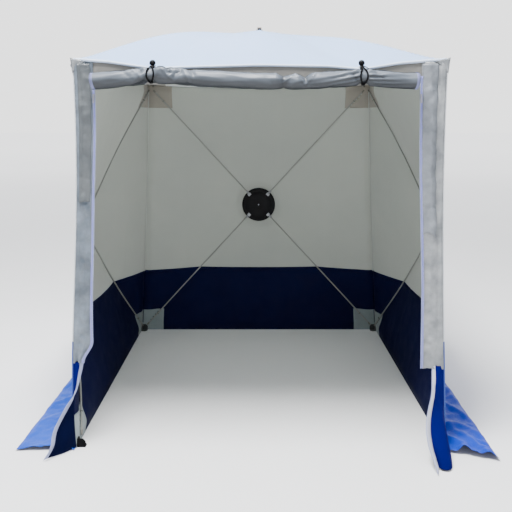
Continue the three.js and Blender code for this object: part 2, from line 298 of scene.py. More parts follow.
def tex_uv(nt, scale, seed=0.0):
    tc = nt.nodes.new("ShaderNodeTexCoord")
    mp = nt.nodes.new("ShaderNodeMapping")
    mp.inputs["Scale"].default_value = scale if hasattr(scale, "__len__") else (scale, scale, scale)
    mp.inputs["Location"].default_value = (seed, seed * 0.7, 0)
    nt.links.new(tc.outputs["UV"], mp.inputs["Vector"])
    return mp.outputs["Vector"]


def tex_object(nt, scale):
    tc = nt.nodes.new("ShaderNodeTexCoord")
    mp = nt.nodes.new("ShaderNodeMapping")
    mp.inputs["Scale"].default_value = (scale, scale, scale)
    nt.links.new(tc.outputs["Object"], mp.inputs["Vector"])
    return mp.outputs["Vector"]


def noise_tex(nt, vec, scale, detail=3.0, rough=0.55, distortion=0.0):
    n = nt.nodes.new("ShaderNodeTexNoise")
    n.inputs["Scale"].default_value = scale
    n.inputs["Detail"].default_value = detail
    n.inputs["Roughness"].default_value = rough
    n.inputs["Distortion"].default_value = distortion
    nt.links.new(vec, n.inputs["Vector"])
    return n.outputs["Fac"]


def ramp(nt, fac, stops):
    r = nt.nodes.new("ShaderNodeValToRGB")
    els = r.color_ramp.elements
    while len(els) < len(stops):
        els.new(0.5)
    for e, (p, c) in zip(els, stops):
        e.position = p
        e.color = (*c, 1.0) if len(c) == 3 else c
    nt.links.new(fac, r.inputs["Fac"])
    return r.outputs["Color"]


def maths(nt, op, a, b=None, clamp=False):
    m = nt.nodes.new("ShaderNodeMath")
    m.operation = op
    m.use_clamp = clamp
    for k, x in enumerate((a, b)):
        if x is None:
            continue
        if isinstance(x, (int, float)):
            m.inputs[k].default_value = x
        else:
            nt.links.new(x, m.inputs[k])
    return m.outputs[0]


def mix(nt, fac, a, b, kind="MIX"):
    m = nt.nodes.new("ShaderNodeMix")
    m.data_type = "RGBA"
    m.blend_type = kind
    for sock, x in ((m.inputs["Factor"], fac), (m.inputs[6], a), (m.inputs[7], b)):
        if isinstance(x, (int, float)):
            sock.default_value = x
        elif isinstance(x, tuple):
            sock.default_value = (*x, 1.0) if len(x) == 3 else x
        else:
            nt.links.new(x, sock)
    return m.outputs[2]


def bump(nt, height, strength, distance, normal=None):
    b = nt.nodes.new("ShaderNodeBump")
    b.inputs["Strength"].default_value = strength
    b.inputs["Distance"].default_value = distance
    nt.links.new(height, b.inputs["Height"])
    if normal is not None:
        nt.links.new(normal, b.inputs["Normal"])
    return b.outputs["Normal"]


def weave(nt, per_metre):
    """A plain weave's height from two crossed waves, in metric UV."""
    out = []
    for axis in ("X", "Y"):
        w = nt.nodes.new("ShaderNodeTexWave")
        w.wave_type = "BANDS"
        w.bands_direction = axis
        w.wave_profile = "SIN"
        w.inputs["Scale"].default_value = 1.0
        w.inputs["Distortion"].default_value = 0.15
        w.inputs["Detail"].default_value = 1.0
        nt.links.new(tex_uv(nt, per_metre * math.pi / 10.0 / 0.5), w.inputs["Vector"])
        out.append(w.outputs["Fac"])
    return maths(nt, "MULTIPLY", out[0], out[1])


def cloth(name, light, dark, rough=0.7, weave_pm=550, weave_bump=0.25, wrinkle=0.35, wrinkle_scale=9.0, sheen=0.15,
          coat=0.0, crease=0.0, dirt=0.0, dirt_colour=(0.35, 0.33, 0.28), spec=0.35, patch_scale=1.6):
    m, nt, b = nodes_of(name)
    big = noise_tex(nt, tex_uv(nt, 1.0, 3.0), patch_scale, 4.0, 0.6)
    mid = noise_tex(nt, tex_uv(nt, 1.0, 8.0), wrinkle_scale, 5.0, 0.6, 0.4)
    colour = ramp(nt, big, [(0.3, dark), (0.7, light)])
    thread = weave(nt, weave_pm)
    colour = mix(nt, maths(nt, "MULTIPLY", thread, 0.16), colour, tuple(c * 0.72 for c in dark))
    if dirt > 0:
        spots = ramp(nt, noise_tex(nt, tex_uv(nt, 1.0, 21.0), 3.2, 8.0, 0.7), [(0.52, (0, 0, 0)), (0.8, (1, 1, 1))])
        colour = mix(nt, maths(nt, "MULTIPLY", spots, dirt), colour, dirt_colour)
    nt.links.new(colour, b.inputs["Base Color"])
    r = ramp(nt, mid, [(0.3, (rough * 0.86,) * 3), (0.7, (min(1, rough * 1.12),) * 3)])
    nt.links.new(r, b.inputs["Roughness"])
    normal = bump(nt, thread, weave_bump, 0.0004)
    normal = bump(nt, mid, wrinkle, 0.004, normal)
    if crease > 0:
        v = nt.nodes.new("ShaderNodeTexVoronoi")
        v.feature = "DISTANCE_TO_EDGE"
        v.inputs["Scale"].default_value = 7.0
        nt.links.new(mix(nt, 0.06, tex_uv(nt, 1.0, 2.0), noise_tex(nt, tex_uv(nt, 1.0, 5.0), 6.0), "ADD"), v.inputs["Vector"])
        edge_line = ramp(nt, v.outputs["Distance"], [(0.0, (1, 1, 1)), (0.10, (0, 0, 0))])
        normal = bump(nt, edge_line, crease, 0.003, normal)
    nt.links.new(normal, b.inputs["Normal"])
    b.inputs["Sheen Weight"].default_value = sheen
    b.inputs["Sheen Roughness"].default_value = 0.5
    b.inputs["Specular IOR Level"].default_value = spec
    b.inputs["Coat Weight"].default_value = coat
    b.inputs["Coat Roughness"].default_value = 0.3
    return m


def plastic(name, colour, rough=0.42, grain=0.25, wear=0.1, scale=260.0, spec=0.32):
    m, nt, b = nodes_of(name)
    g = noise_tex(nt, tex_object(nt, 1.0), scale, 3.0)
    big = noise_tex(nt, tex_object(nt, 1.0), 14.0, 5.0)
    c = ramp(nt, big, [(0.35, colour), (0.75, tuple(min(1, x * (1 + wear * 4) + wear * 0.05) for x in colour))])
    nt.links.new(c, b.inputs["Base Color"])
    r = ramp(nt, big, [(0.3, (rough * 0.85,) * 3), (0.7, (rough * 1.2,) * 3)])
    nt.links.new(r, b.inputs["Roughness"])
    nt.links.new(bump(nt, g, grain, 0.0003), b.inputs["Normal"])
    b.inputs["Specular IOR Level"].default_value = spec
    return m


def metal(name, colour, rough=0.28):
    m, nt, b = nodes_of(name)
    n = noise_tex(nt, tex_object(nt, 1.0), 90.0, 4.0)
    nt.links.new(ramp(nt, n, [(0.3, tuple(x * 0.8 for x in colour)), (0.7, colour)]), b.inputs["Base Color"])
    nt.links.new(ramp(nt, n, [(0.3, (rough * 0.7,) * 3), (0.7, (rough * 1.5,) * 3)]), b.inputs["Roughness"])
    nt.links.new(bump(nt, n, 0.08, 0.0002), b.inputs["Normal"])
    b.inputs["Metallic"].default_value = 1.0
    return m


def let_light_through(m, share, colour):
    """Some of the light on one side of the cloth comes out of the other."""
    nt = m.node_tree
    b = nt.nodes["Principled BSDF"]
    t = nt.nodes.new("ShaderNodeBsdfTranslucent")
    t.inputs["Color"].default_value = (*colour, 1.0)
    x = nt.nodes.new("ShaderNodeMixShader")
    x.inputs[0].default_value = share
    out = nt.nodes["Material Output"]
    nt.links.new(b.outputs[0], x.inputs[1])
    nt.links.new(t.outputs[0], x.inputs[2])
    nt.links.new(x.outputs[0], out.inputs["Surface"])


M = {}
# the roof cloth is white: its blue base colour is a painted reflection of the sky
M["roof"] = cloth("roof_cloth", (0.40, 0.60, 0.99), (0.365, 0.565, 0.95), rough=0.62, dirt=0.08, dirt_colour=(0.6, 0.62, 0.64), wrinkle=0.25)
M["roof_in"] = cloth("roof_lining", (0.66, 0.68, 0.63), (0.60, 0.62, 0.57), rough=0.8, wrinkle=0.2)
M["white"] = cloth("wall_cloth_white", (0.82, 0.85, 0.90), (0.76, 0.80, 0.87), rough=0.65, dirt=0.12, dirt_colour=(0.58, 0.57, 0.52), wrinkle=0.3)
M["white_in"] = cloth("wall_lining_grey", (0.250, 0.282, 0.246), (0.203, 0.234, 0.208), rough=0.82, wrinkle=0.22, dirt=0.08, dirt_colour=(0.48, 0.47, 0.42))
M["blue"] = cloth("wall_cloth_blue", (0.015, 0.050, 0.38), (0.010, 0.036, 0.30), rough=0.6, weave_bump=0.35, dirt=0.1, dirt_colour=(0.10, 0.13, 0.26), spec=0.3, sheen=0.0)
# inner face of the blue cloth: its near-black navy is painted shade for the inside of the shelter
M["navy_in"] = cloth("wall_inside_navy_shaded", (0.005, 0.007, 0.045), (0.003, 0.004, 0.028), rough=0.8, sheen=0.0, spec=0.08, dirt=0.05, dirt_colour=(0.02, 0.022, 0.03))
M["skirt"] = cloth("skirt_film", (0.020, 0.115, 0.62), (0.010, 0.062, 0.44), rough=0.45, weave_pm=380, weave_bump=0.5, wrinkle=0.8, wrinkle_scale=14.0, sheen=0.0, coat=0.03, crease=0.35, dirt=0.12, dirt_colour=(0.20, 0.36, 0.85), spec=0.14)
# a darker copy of the skirt film for the right skirt: painted shade
M["skirt_r"] = cloth("skirt_film_right_shaded", (0.008, 0.062, 0.55), (0.004, 0.030, 0.36), rough=0.45, weave_pm=380, weave_bump=0.5, wrinkle=0.8, wrinkle_scale=14.0, sheen=0.0, coat=0.03, crease=0.35, dirt=0.10, dirt_colour=(0.12, 0.26, 0.75), spec=0.14)
# the film's underside: dark blue as painted shade under its lifted waves
M["skirt_in"] = cloth("skirt_film_under_shaded", (0.02, 0.03, 0.16), (0.012, 0.02, 0.11), rough=0.5, weave_pm=380, wrinkle=0.6)
M["strip"] = cloth("strip_cloth_silver", (0.33, 0.345, 0.355), (0.13, 0.142, 0.155), rough=0.36, weave_bump=0.15, wrinkle=1.0, patch_scale=9.0, wrinkle_scale=16.0, sheen=0.0, coat=0.2, crease=0.3, spec=0.5)
# a darker copy of the strip cloth for the left strip: painted shade
M["strip_l"] = cloth("strip_cloth_left_shaded", (0.185, 0.225, 0.275), (0.060, 0.078, 0.10), rough=0.34, weave_bump=0.15, wrinkle=1.0, patch_scale=8.0, wrinkle_scale=16.0, sheen=0.0, coat=0.2, crease=0.3, spec=0.5)
# the folded layers' dark greys: partly the cloth's doubled layer, partly painted shade
M["strip_fold_r"] = cloth("strip_fold_right_shaded", (0.24, 0.26, 0.285), (0.13, 0.145, 0.165), rough=0.4, weave_bump=0.2, wrinkle=1.0, wrinkle_scale=13.0, sheen=0.0, crease=0.35, patch_scale=8.0)
M["strip_fold"] = cloth("strip_fold_grey_shaded", (0.125, 0.138, 0.145), (0.065, 0.074, 0.082), rough=0.45, weave_bump=0.2, wrinkle=1.0, wrinkle_scale=13.0, sheen=0.0, crease=0.35, patch_scale=5.0)
M["door"] = cloth("door_cloth", (0.130, 0.150, 0.178), (0.094, 0.110, 0.133), rough=0.46, weave_bump=0.15, wrinkle=0.6, wrinkle_scale=11.0, sheen=0.0, coat=0.04, spec=0.4, dirt=0.06, dirt_colour=(0.34, 0.34, 0.33))
M["door_end"] = cloth("door_end_tape", (0.17, 0.185, 0.33), (0.13, 0.145, 0.27), rough=0.6, weave_pm=900, weave_bump=0.6, wrinkle=0.1, sheen=0.0)
M["flap"] = cloth("flap_cloth_blue", (0.003, 0.003, 0.112), (0.002, 0.002, 0.072), rough=0.8, weave_bump=0.3, wrinkle=0.5, spec=0.04, sheen=0.0)
# the flaps' inner face: a near-black copy of the navy, painted shade for the shaded flaps
M["flap_in"] = cloth("flap_inside_navy", (0.002, 0.003, 0.024), (0.001, 0.002, 0.015), rough=0.85, sheen=0.0, spec=0.03)
M["patch_top"] = cloth("patch_beige", (0.34, 0.315, 0.265), (0.28, 0.262, 0.23), rough=0.85, weave_pm=330, weave_bump=0.8, wrinkle=0.2, patch_scale=5.0)
M["patch_low"] = cloth("patch_grey", (0.31, 0.36, 0.37), (0.24, 0.285, 0.29), rough=0.85, weave_pm=330, weave_bump=0.8, wrinkle=0.2, patch_scale=5.0)
M["binding"] = cloth("binding_white", (0.74, 0.77, 0.80), (0.66, 0.69, 0.73), rough=0.7, weave_pm=800, weave_bump=0.5, wrinkle=0.1)
M["binding_blue"] = cloth("binding_blue", (0.03, 0.08, 0.36), (0.02, 0.06, 0.28), rough=0.7, weave_pm=800, weave_bump=0.5, wrinkle=0.1)
M["tape"] = cloth("zip_tape_lilac", (0.27, 0.30, 0.47), (0.21, 0.24, 0.40), rough=0.6, weave_pm=900, weave_bump=0.6, wrinkle=0.1)
M["tape_up"] = cloth("zip_tape_violet", (0.23, 0.25, 0.60), (0.17, 0.19, 0.50), rough=0.6, weave_pm=900, weave_bump=0.6, wrinkle=0.1, sheen=0.0)
M["tape_white"] = cloth("zip_tape_white", (0.58, 0.60, 0.72), (0.50, 0.53, 0.66), rough=0.6, weave_pm=900, weave_bump=0.6, wrinkle=0.1)
M["webbing"] = cloth("pull_webbing", (0.17, 0.125, 0.085), (0.12, 0.09, 0.06), rough=0.85, weave_pm=420, weave_bump=1.0, wrinkle=0.1, patch_scale=20.0)
M["elastic"] = cloth("elastic_braid", (0.004, 0.004, 0.005), (0.002, 0.002, 0.0025), rough=0.75, weave_pm=700, weave_bump=1.0, wrinkle=0.05, patch_scale=30.0, sheen=0.0, spec=0.1)
M["clip"] = cloth("rod_clip_grey", (0.13, 0.13, 0.115), (0.09, 0.09, 0.08), rough=0.8, weave_pm=700, weave_bump=1.0, wrinkle=0.05, patch_scale=30.0, sheen=0.0, spec=0.1)
M["hem"] = cloth("hem_white_blue", (0.60, 0.70, 0.86), (0.52, 0.62, 0.79), rough=0.6, weave_pm=700, weave_bump=0.4, wrinkle=0.2, sheen=0.0)
# pale seam tape: partly its own colour, partly painted light over the shade in the rear corners
M["seam_in"] = cloth("corner_seam_pale_painted_light", (0.60, 0.64, 0.60), (0.52, 0.56, 0.52), rough=0.8, weave_pm=700, wrinkle=0.05, sheen=0.0)
M["stitch"] = cloth("stitching", (0.55, 0.56, 0.57), (0.45, 0.46, 0.47), rough=0.8, weave_pm=1500, wrinkle=0.0)
M["hub"] = plastic("hub_plastic", (0.003, 0.003, 0.004), 0.50, 0.3, 0.02, spec=0.12)
M["cup"] = plastic("cup_plastic", (0.003, 0.003, 0.0035), 0.6, 0.45, 0.01, spec=0.06)
M["cup_top"] = plastic("cup_plastic_beige", (0.27, 0.25, 0.21), 0.6, 0.5, 0.1)
M["tip"] = plastic("rod_tip_grey", (0.17, 0.165, 0.145), 0.6, 0.5, 0.05)
M["cup_low"] = plastic("cup_plastic_grey", (0.035, 0.037, 0.038), 0.55, 0.45, 0.12)
M["ball"] = plastic("toggle_plastic", (0.002, 0.002, 0.003), 0.42, 0.1, 0.02, spec=0.14)
M["zipbody"] = plastic("zip_teeth", (0.30, 0.33, 0.52), 0.4, 0.1, 0.1)
M["slider"] = metal("slider_metal", (0.36, 0.36, 0.43), 0.36)
M["steel"] = metal("bright_steel", (0.26, 0.27, 0.28), 0.36)
M["ferrule"] = metal("ferrule_metal", (0.30, 0.31, 0.32), 0.34)


def rod_material():
    m, nt, b = nodes_of("rod_fibreglass")
    grain = noise_tex(nt, tex_uv(nt, (900.0, 6.0, 1.0)), 1.0, 4.0)
    big = noise_tex(nt, tex_uv(nt, 1.0), 18.0, 3.0)
    c = ramp(nt, grain, [(0.3, (0.19, 0.197, 0.18)), (0.7, (0.29, 0.30, 0.275))])
    c = mix(nt, maths(nt, "MULTIPLY", big, 0.3), c, (0.34, 0.35, 0.325))
    nt.links.new(c, b.inputs["Base Color"])
    nt.links.new(ramp(nt, grain, [(0.2, (0.32,) * 3), (0.8, (0.52,) * 3)]), b.inputs["Roughness"])
    nt.links.new(bump(nt, grain, 0.35, 0.0002), b.inputs["Normal"])
    return m


def shade_under(m, stops):
    """Painted shade: the rolled cloth's colour is multiplied darker the more its surface faces down, darkest along its
    underside.
    """
    nt = m.node_tree
    base = nt.nodes["Principled BSDF"].inputs["Base Color"]
    source = base.links[0].from_socket
    tc = nt.nodes.new("ShaderNodeTexCoord")
    sep = nt.nodes.new("ShaderNodeSeparateXYZ")
    nt.links.new(tc.outputs["Normal"], sep.inputs[0])
    up = maths(nt, "ADD", maths(nt, "MULTIPLY", sep.outputs[2], 0.5), 0.5)
    nt.links.new(mix(nt, 1.0, source, ramp(nt, up, stops), "MULTIPLY"), base)


# painted shade on the rolled door, darker underneath
shade_under(M["door"], [(0.0, (.12, .125, .13)), (0.25, (.20, .205, .21)), (0.5, (.60, .61, .62)), (0.72, (.80, .82, .84)), (1.0, (.84, .86, .88))])
# painted shade: the door's colour is darkened in the sharp fold valleys that the fold attribute marks
nt_ = M["door"].node_tree
at_ = nt_.nodes.new("ShaderNodeAttribute")
at_.attribute_name = "fold"
base_ = nt_.nodes["Principled BSDF"].inputs["Base Color"]
nt_.links.new(mix(nt_, 1.0, base_.links[0].from_socket, ramp(nt_, at_.outputs["Fac"], [(0.0, (1, 1, 1)), (0.5, (.72, .73, .74)), (1.0, (.34, .35, .36))]), "MULTIPLY"), base_)
M["rod"] = rod_material()
for name_, share in (("white", .30), ("white_in", .30), ("roof", .30), ("roof_in", .30)):
    let_light_through(M[name_], share, (.95, .95, .90))

# ------------------------------------------------------------------ the part's own geometry, in metres
Z, FRONT, BACK = 1.815, -0.860, 0.860
C = {k: np.array(v) for k, v in {
    "FTL": (-0.875, FRONT, Z), "FTR": (0.875, FRONT, Z), "FBL": (-0.860, FRONT, 0.0), "FBR": (0.860, FRONT, 0.0),
    "RTL": (-0.820, BACK, Z), "RTR": (0.820, BACK, Z), "RBL": (-0.866, BACK, 0.0), "RBR": (0.866, BACK, 0.0)}.items()}
SAG = {"FTLFTR": (0, 0, -.034), "RTLRTR": (0, -.010, -.026), "FTLRTL": (.010, 0, -.026), "FTRRTR": (-.010, 0, -.026),
       "FBLFTL": (.020, 0, 0), "FBRFTR": (-.020, 0, 0), "RBLRTL": (.008, -.008, 0), "RBRRTR": (-.008, -.008, 0)}
TIES = (-0.500, 0.470)


HEM = ((-.875, -.70, -.57, -.50, -.43, -.281, 0, .325, .41, .47, .53, .651, .875),
       (1.815, 1.801, 1.781, 1.771, 1.774, 1.779, 1.787, 1.781, 1.773, 1.767, 1.776, 1.796, 1.815))


def hem_z(x):
    """Height of the roof's front edge: it hangs between the corners and is pulled down at the ties."""
    x = np.asarray(x, float)
    return sum(np.interp(x + k * .012, *HEM) for k in (-2, -1, 0, 1, 2)) / 5


def edge(a, b, s):
    s = np.asarray(s, float)[..., None]
    sag = np.array(SAG.get(a + b, SAG.get(b + a, (0, 0, 0))), float)
    p = C[a] * (1 - s) + C[b] * s + sag * (1 - (2 * s - 1) ** 2)
    if {a, b} == {"FTL", "FTR"}:
        p[..., 2] = hem_z(p[..., 0])
    if {a, b} in ({"FBL", "FTL"}, {"FBR", "FTR"}):
        k = (s if a[1] == "B" else 1 - s)[..., 0]  # share of the way up from the ground
        p[..., 0] += (-.026 if "L" in a[2] else .008) * k * (1 - k) ** 3 / .105
    return p


# corners: A (-,-), B (+,-), C (+,+), D (-,+) in the panel's own (s, t)
WALLS = {
    "back": dict(c=("RBL", "RBR", "RTR", "RTL"), n=(0, 1, 0), hub=(0, .856, .905), rise=.220, bow=.014),
    "left": dict(c=("FBL", "RBL", "RTL", "FTL"), n=(-1, 0, 0), hub=(-.855, 0, .905), rise=.220, bow=.014),
    "right": dict(c=("FBR", "RBR", "RTR", "FTR"), n=(1, 0, 0), hub=(.855, 0, .905), rise=.220, bow=.014),
    "roof": dict(c=("FTL", "FTR", "RTR", "RTL"), n=(0, 0, 1), hub=(0, 0, 1.812), rise=.246, bow=.040),
}
for W in WALLS.values():
    W["n"] = np.array(W["n"], float)
    W["hub"] = np.array(W["hub"], float)
    up = np.array([0, 1.0, 0]) if abs(W["n"][2]) > 0.5 else np.array([0, 0, 1.0])
    W["u"] = np.cross(up, W["n"])
    W["w"] = np.cross(W["n"], W["u"])
NAME = {"FTL": "front_top_left", "FTR": "front_top_right", "FBL": "front_bottom_left", "FBR": "front_bottom_right",
        "RTL": "rear_top_left", "RTR": "rear_top_right", "RBL": "rear_bottom_left", "RBR": "rear_bottom_right"}
INSET, TIP_IN, PIVOT_R, PIVOT_IN, DISC_R = .040, .015, .108, .022, .127
shift = np.array([0, SY, 0])


def bump16(t):
    return 16 * t * t * (1 - t) * (1 - t)


def rod_data(key, corner):
    W = WALLS[key]
    n, hub, c = W["n"], W["hub"], C[corner]
    out = (c - hub) @ n
    tip = c - n * out
    for e in (W["u"], W["w"]):
        tip = tip - e * np.sign((c - hub) @ e) * INSET
    tip = tip + n * (out - TIP_IN)
    d = tip - hub
    d = d - n * (d @ n)
    d /= np.linalg.norm(d)
    pivot = hub + n * (W["rise"] - PIVOT_IN) + d * PIVOT_R
    return pivot, tip, d, np.cross(n, d)


ROOF_FULL, ROOF_SAG, TIP_M = .020, .008, .954


def wall_surface(key, S, T, lift=0.0, wrinkles=1.0):
    """Points of a panel at (S, T) in [-1, 1], and each point's share of its hub's travel."""
    W = WALLS[key]
    a, b, c, d = W["c"]
    n, hub = W["n"], W["hub"]
    S, T = np.broadcast_arrays(np.asarray(S, float), np.asarray(T, float))
    m = np.maximum(np.maximum(np.abs(S), np.abs(T)), 1e-6)
    bs, bt = np.clip(S / m, -1, 1), np.clip(T / m, -1, 1)
    sides = np.abs(S) >= np.abs(T)
    E = np.where(sides[..., None],
                 np.where((bs < 0)[..., None], edge(a, d, (bt + 1) / 2), edge(b, c, (bt + 1) / 2)),
                 np.where((bt < 0)[..., None], edge(a, b, (bs + 1) / 2), edge(d, c, (bs + 1) / 2)))
    rel = E - hub
    En = rel @ n
    flat = rel - En[..., None] * n
    R = np.linalg.norm(flat, axis=-1)
    m0 = 0.130 / R
    tau = np.clip((m - m0) / (1 - m0), 0, 1)
    q = np.minimum(np.abs(bs), np.abs(bt))
    roof = key == "roof"
    h = W["rise"] * (1 - tau) + En * tau + W["bow"] * ((0.75 + 0.25 * q * q) if roof else (0.25 + 0.75 * q * q)) * bump16(tau)
    flat_side = sm((S + .05) / .45) if roof else 0.0  # the roof's right half lies flatter
    if roof:
        h = h + (ROOF_FULL - .026 * flat_side) * np.sin(math.pi * tau ** .8)
        h = h + .030 * (1 - q) ** 1.5 * np.where((np.abs(T) > np.abs(S)) & (T < 0), 1, .3) * bump16(tau ** .8)
    # from the hub's rim the cloth comes down on to the rods, and leaves them at the corners
    h = h - (0.005 if roof else 0.0175) * sm((tau) / 0.07) * (1 - sm((tau - 0.93) / 0.07))
    # between the rods it is drawn in
    span = (1 - q ** 1.6)
    h = h - (ROOF_SAG + .008 * flat_side if roof else 0.018) * span * np.sin(math.pi * tau) ** 0.8
    P = hub + flat * m[..., None] + h[..., None] * n
    # metric coordinates across the panel for folds
    x, y = (P - hub) @ W["u"], (P - hub) @ W["w"]
    k = {"back": 1.0, "left": 2.0, "right": 3.0, "roof": 4.0}[key] * 11.7
    soft = sm((1 - tau) / 0.12) * sm((m - 0.15) / 0.12)
    hold = np.clip(1 - q ** 5, 0.12, 1)
    d1 = 0.0045 * fbm(np.stack([x * 2.2, y * 2.2, x * 0 + k], -1), 3)
    d2 = 0.0012 * fbm(np.stack([x * 9, y * 7, x * 0 + k + 5], -1), 3)
    # long soft folds that run out of each corner, where the rods and the edges pull
    d3 = 0.0
    for sx in (-1, 1):
        for sy in (-1, 1):
            cx, cy = sx * 0.85, sy * 0.88
            rx, ry = (cx - x) * sx, (cy - y) * sy
            rr = np.sqrt(rx * rx + ry * ry) + 1e-6
            ang = np.arctan2(ry, rx)
            amp = np.exp(-((rr - 0.22) / 0.24) ** 2) * sm(rr / 0.10)
            d3 = d3 + 0.0034 * amp * np.sin(ang * 15 + 1.6 * perlin(np.stack([rr * 3, ang * 2, rr * 0 + k + sx + 3 * sy], -1)))
    # fold memory from being packed: a few straight creases
    d4 = 0.0
    for cx in (-0.52, -0.17, 0.20, 0.55):
        wob = 0.012 * perlin(np.stack([y * 2.0, x * 0 + cx * 9, x * 0 + k], -1))
        d4 = d4 - 0.0022 * np.exp(-np.abs((x - cx - wob) / 0.010))
    for cy in (-0.45, 0.12, 0.60):
        wob = 0.010 * perlin(np.stack([x * 2.0, x * 0 + cy * 9, x * 0 + k], -1))
        d4 = d4 - 0.0014 * np.exp(-np.abs((y - cy - wob) / 0.009))
    dd = wrinkles * soft * hold * (d1 + d2 + d3 + d4)
    dd = np.minimum(dd, 0.010)
    P = P + n * (dd + lift)[..., None] + shift
    # the hub's travel reaches the cloth as the rods carry it: whole inside the rim, none beyond the rods' tips
    mp, m1 = 0.108 / R, 0.185 / R
    at1 = 1 - (m1 - mp) / (TIP_M - mp)
    w = np.where(m <= m0, 1.0, np.where(m < m1, 1 + (at1 - 1) * (m - m0) / (m1 - m0), np.clip(1 - (m - mp) / (TIP_M - mp), 0, 1)))
    return P, w, x, y


def blend_to_hub(o, key, weights):
    """The cloth over a hub follows it: all the way at the hub, not at all at the panel's edge, and in
    proportion to the distance along the rods between, which is how the rods carry it."""
    W = WALLS[key]
    start = W["hub"] + W["u"] * 0.86 + shift
    end = W["hub"] + W["u"] * 0.13 + shift
    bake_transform(o, "shelter", f"hub_{key}", start=tuple(start), end=tuple(end))
    at = o.data.attributes["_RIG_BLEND"]
    at.data.foreach_set("value", np.asarray(weights, np.float32).ravel())


# ------------------------------------------------------------------ wall and roof cloths
SEAM_BACK, SEAM_FRONT = 0.430, 0.505


def seam_t(key, S):
    if key == "back":
        z = np.full_like(S, SEAM_BACK)
    else:
        z = SEAM_FRONT + (SEAM_BACK - SEAM_FRONT) * (S + 1) / 2
    return (z - 0.905) / 0.9065


NS = 96
S1 = np.linspace(-1, 1, NS + 1)
for key in ("back", "left", "right"):
    W = WALLS[key]
    ts = seam_t(key, S1)
    rows_up, rows_lo = 72, 26
    for part, rows in (("upper", rows_up), ("lower", rows_lo)):
        k = np.linspace(0, 1, rows + 1)[:, None]
        if part == "upper":
            T = ts[None] + (1 - ts[None]) * k
        else:
            T = -1 + (ts[None] + 0.012 / 0.9 + 1) * k  # its top edge goes 12 mm up behind the white cloth
        S = np.broadcast_to(S1[None], T.shape)
        lift = np.zeros_like(T)
        if part == "lower":
            lift = -0.0016 * sm((T - ts[None] + 0.02) / 0.02)
        P, w, x, y = wall_surface(key, S, T, lift)
        if part == "lower":
            P[..., 2] = np.maximum(P[..., 2], 0.0008)
        mats = [M["white"], M["white_in"]] if part == "upper" else [M["blue"], M["navy_in"]]
        o = grid_object(f"wall_{key}_{part}_cloth", P, mats, np.stack([x + 1, y + 1], -1), outward=W["n"])
        solidify(o, 0.0012, -1, inner=1)
        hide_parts(f"wall_{key}_{part}")
        blend_to_hub(o, key, w)
S, T = np.meshgrid(S1, np.linspace(-1, 1, NS + 1))
P, w, x, y = wall_surface("roof", S, T)
o = grid_object("roof_cloth", P, [M["roof"], M["roof_in"]], np.stack([x + 1, y + 1], -1), outward=(0, 0, 1))
solidify(o, 0.0012, -1, inner=1)
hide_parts("roof_panel")
blend_to_hub(o, "roof", w)

# reinforcement patches inside the corners, under the rods
for key in WALLS:
    W = WALLS[key]
    for i, c in enumerate(W["c"]):
        sx, sy = (-1, 1, 1, -1)[i], (-1, -1, 1, 1)[i]
        top = c[1] == "T"
        a, b = (0.215 if top else .185), (0.188 if top else 0.165)
        if key == "roof":
            a = b = 0.16
        n1 = 15
        s = sx * (1 - a * np.linspace(1, 0.004, n1)[None])
        t = sy * (1 - b * np.linspace(1, 0.004, n1)[:, None])
        P, w, x, y = wall_surface(key, np.broadcast_to(s, (n1, n1)), np.broadcast_to(t, (n1, n1)), lift=-0.0021)
        P[..., 2] = np.maximum(P[..., 2], 0.0012)
        mat = M["patch_top"] if top else M["patch_low"]
        o = grid_object(f"patch_{key}_{NAME[c]}", P, [mat], np.stack([x + 1, y + 1], -1), outward=-W["n"])
        solidify(o, 0.0006, 0)
        blend_to_hub(o, key, w)

# ------------------------------------------------------------------ rods
for key, W in WALLS.items():
    for c in W["c"]:
        pivot, tip, d, side = rod_data(key, c)
        along = tip - pivot
        L = np.linalg.norm(along)
        along /= L
        up = np.cross(along, side)
        if up @ W["n"] < 0:
            up = -up
        prof = [(-.0088, .0), (-.0088, .0062), (-.0078, .0072), (-.002, .0075), (.030, .0075), (.0335, .0068), (.034, .0052)]
        prof += [(L * t, .0046) for t in np.linspace(0.05, 0.97, 40)]
        prof += [(L - .0225, .005), (L - .0222, .0056), (L - .004, .0057), (L - .001, .0046), (L, .0025), (L, 0)]
        ss = np.array([p[0] for p in prof])
        rr = np.array([max(p[1], 1e-5) for p in prof])
        t = np.clip(ss / L, 0, 1)
        path = pivot + along * ss[:, None] + up * (W["bow"] * bump16(t))[:, None] + shift
        name = f"rod_{key}_{NAME[c]}"
        o = tube(name + "_shaft", path, rr, [M["rod"], M["ferrule"], M["tip"]], sides=14, up=tuple(up))
        mid_s = np.repeat((ss[:-1] + ss[1:]) / 2, 14)
        fm = np.where(mid_s < .034, 1, np.where(mid_s > L - .0224, 2, 0))
        fm = np.concatenate([fm, [1, 2]])
        o.data.polygons.foreach_set("material_index", fm.astype(np.int32))
        sharp_smooth(o, 0.9)
        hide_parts(name)
        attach(o, name)
        # cross pin, with a domed head at each end
        q = np.array([-.0146, -.0144, -.0136, .0136, .0144, .0146])
        pin = tube(name + "_pin", pivot + shift + side * q[:, None], [.0008, .0022, .0026, .0026, .0022, .0008], [M["steel"]], sides=12, up=tuple(up))
        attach(pin, name)
        # the little tie that holds the rod to the patch
        for dist in (0.120,):
            at = path[np.argmin(np.abs(ss - (L - dist)))]
            k = np.linspace(0, 2 * math.pi, 13)[:-1]
            ring = at + side * (np.cos(k) * .0068)[:, None] + up * (np.sin(k) * .0068)[:, None]
            o = tube(name + "_clip", ring, .0016, [M["clip"]], sides=8, closed=True, up=tuple(along))
            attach(o, name)

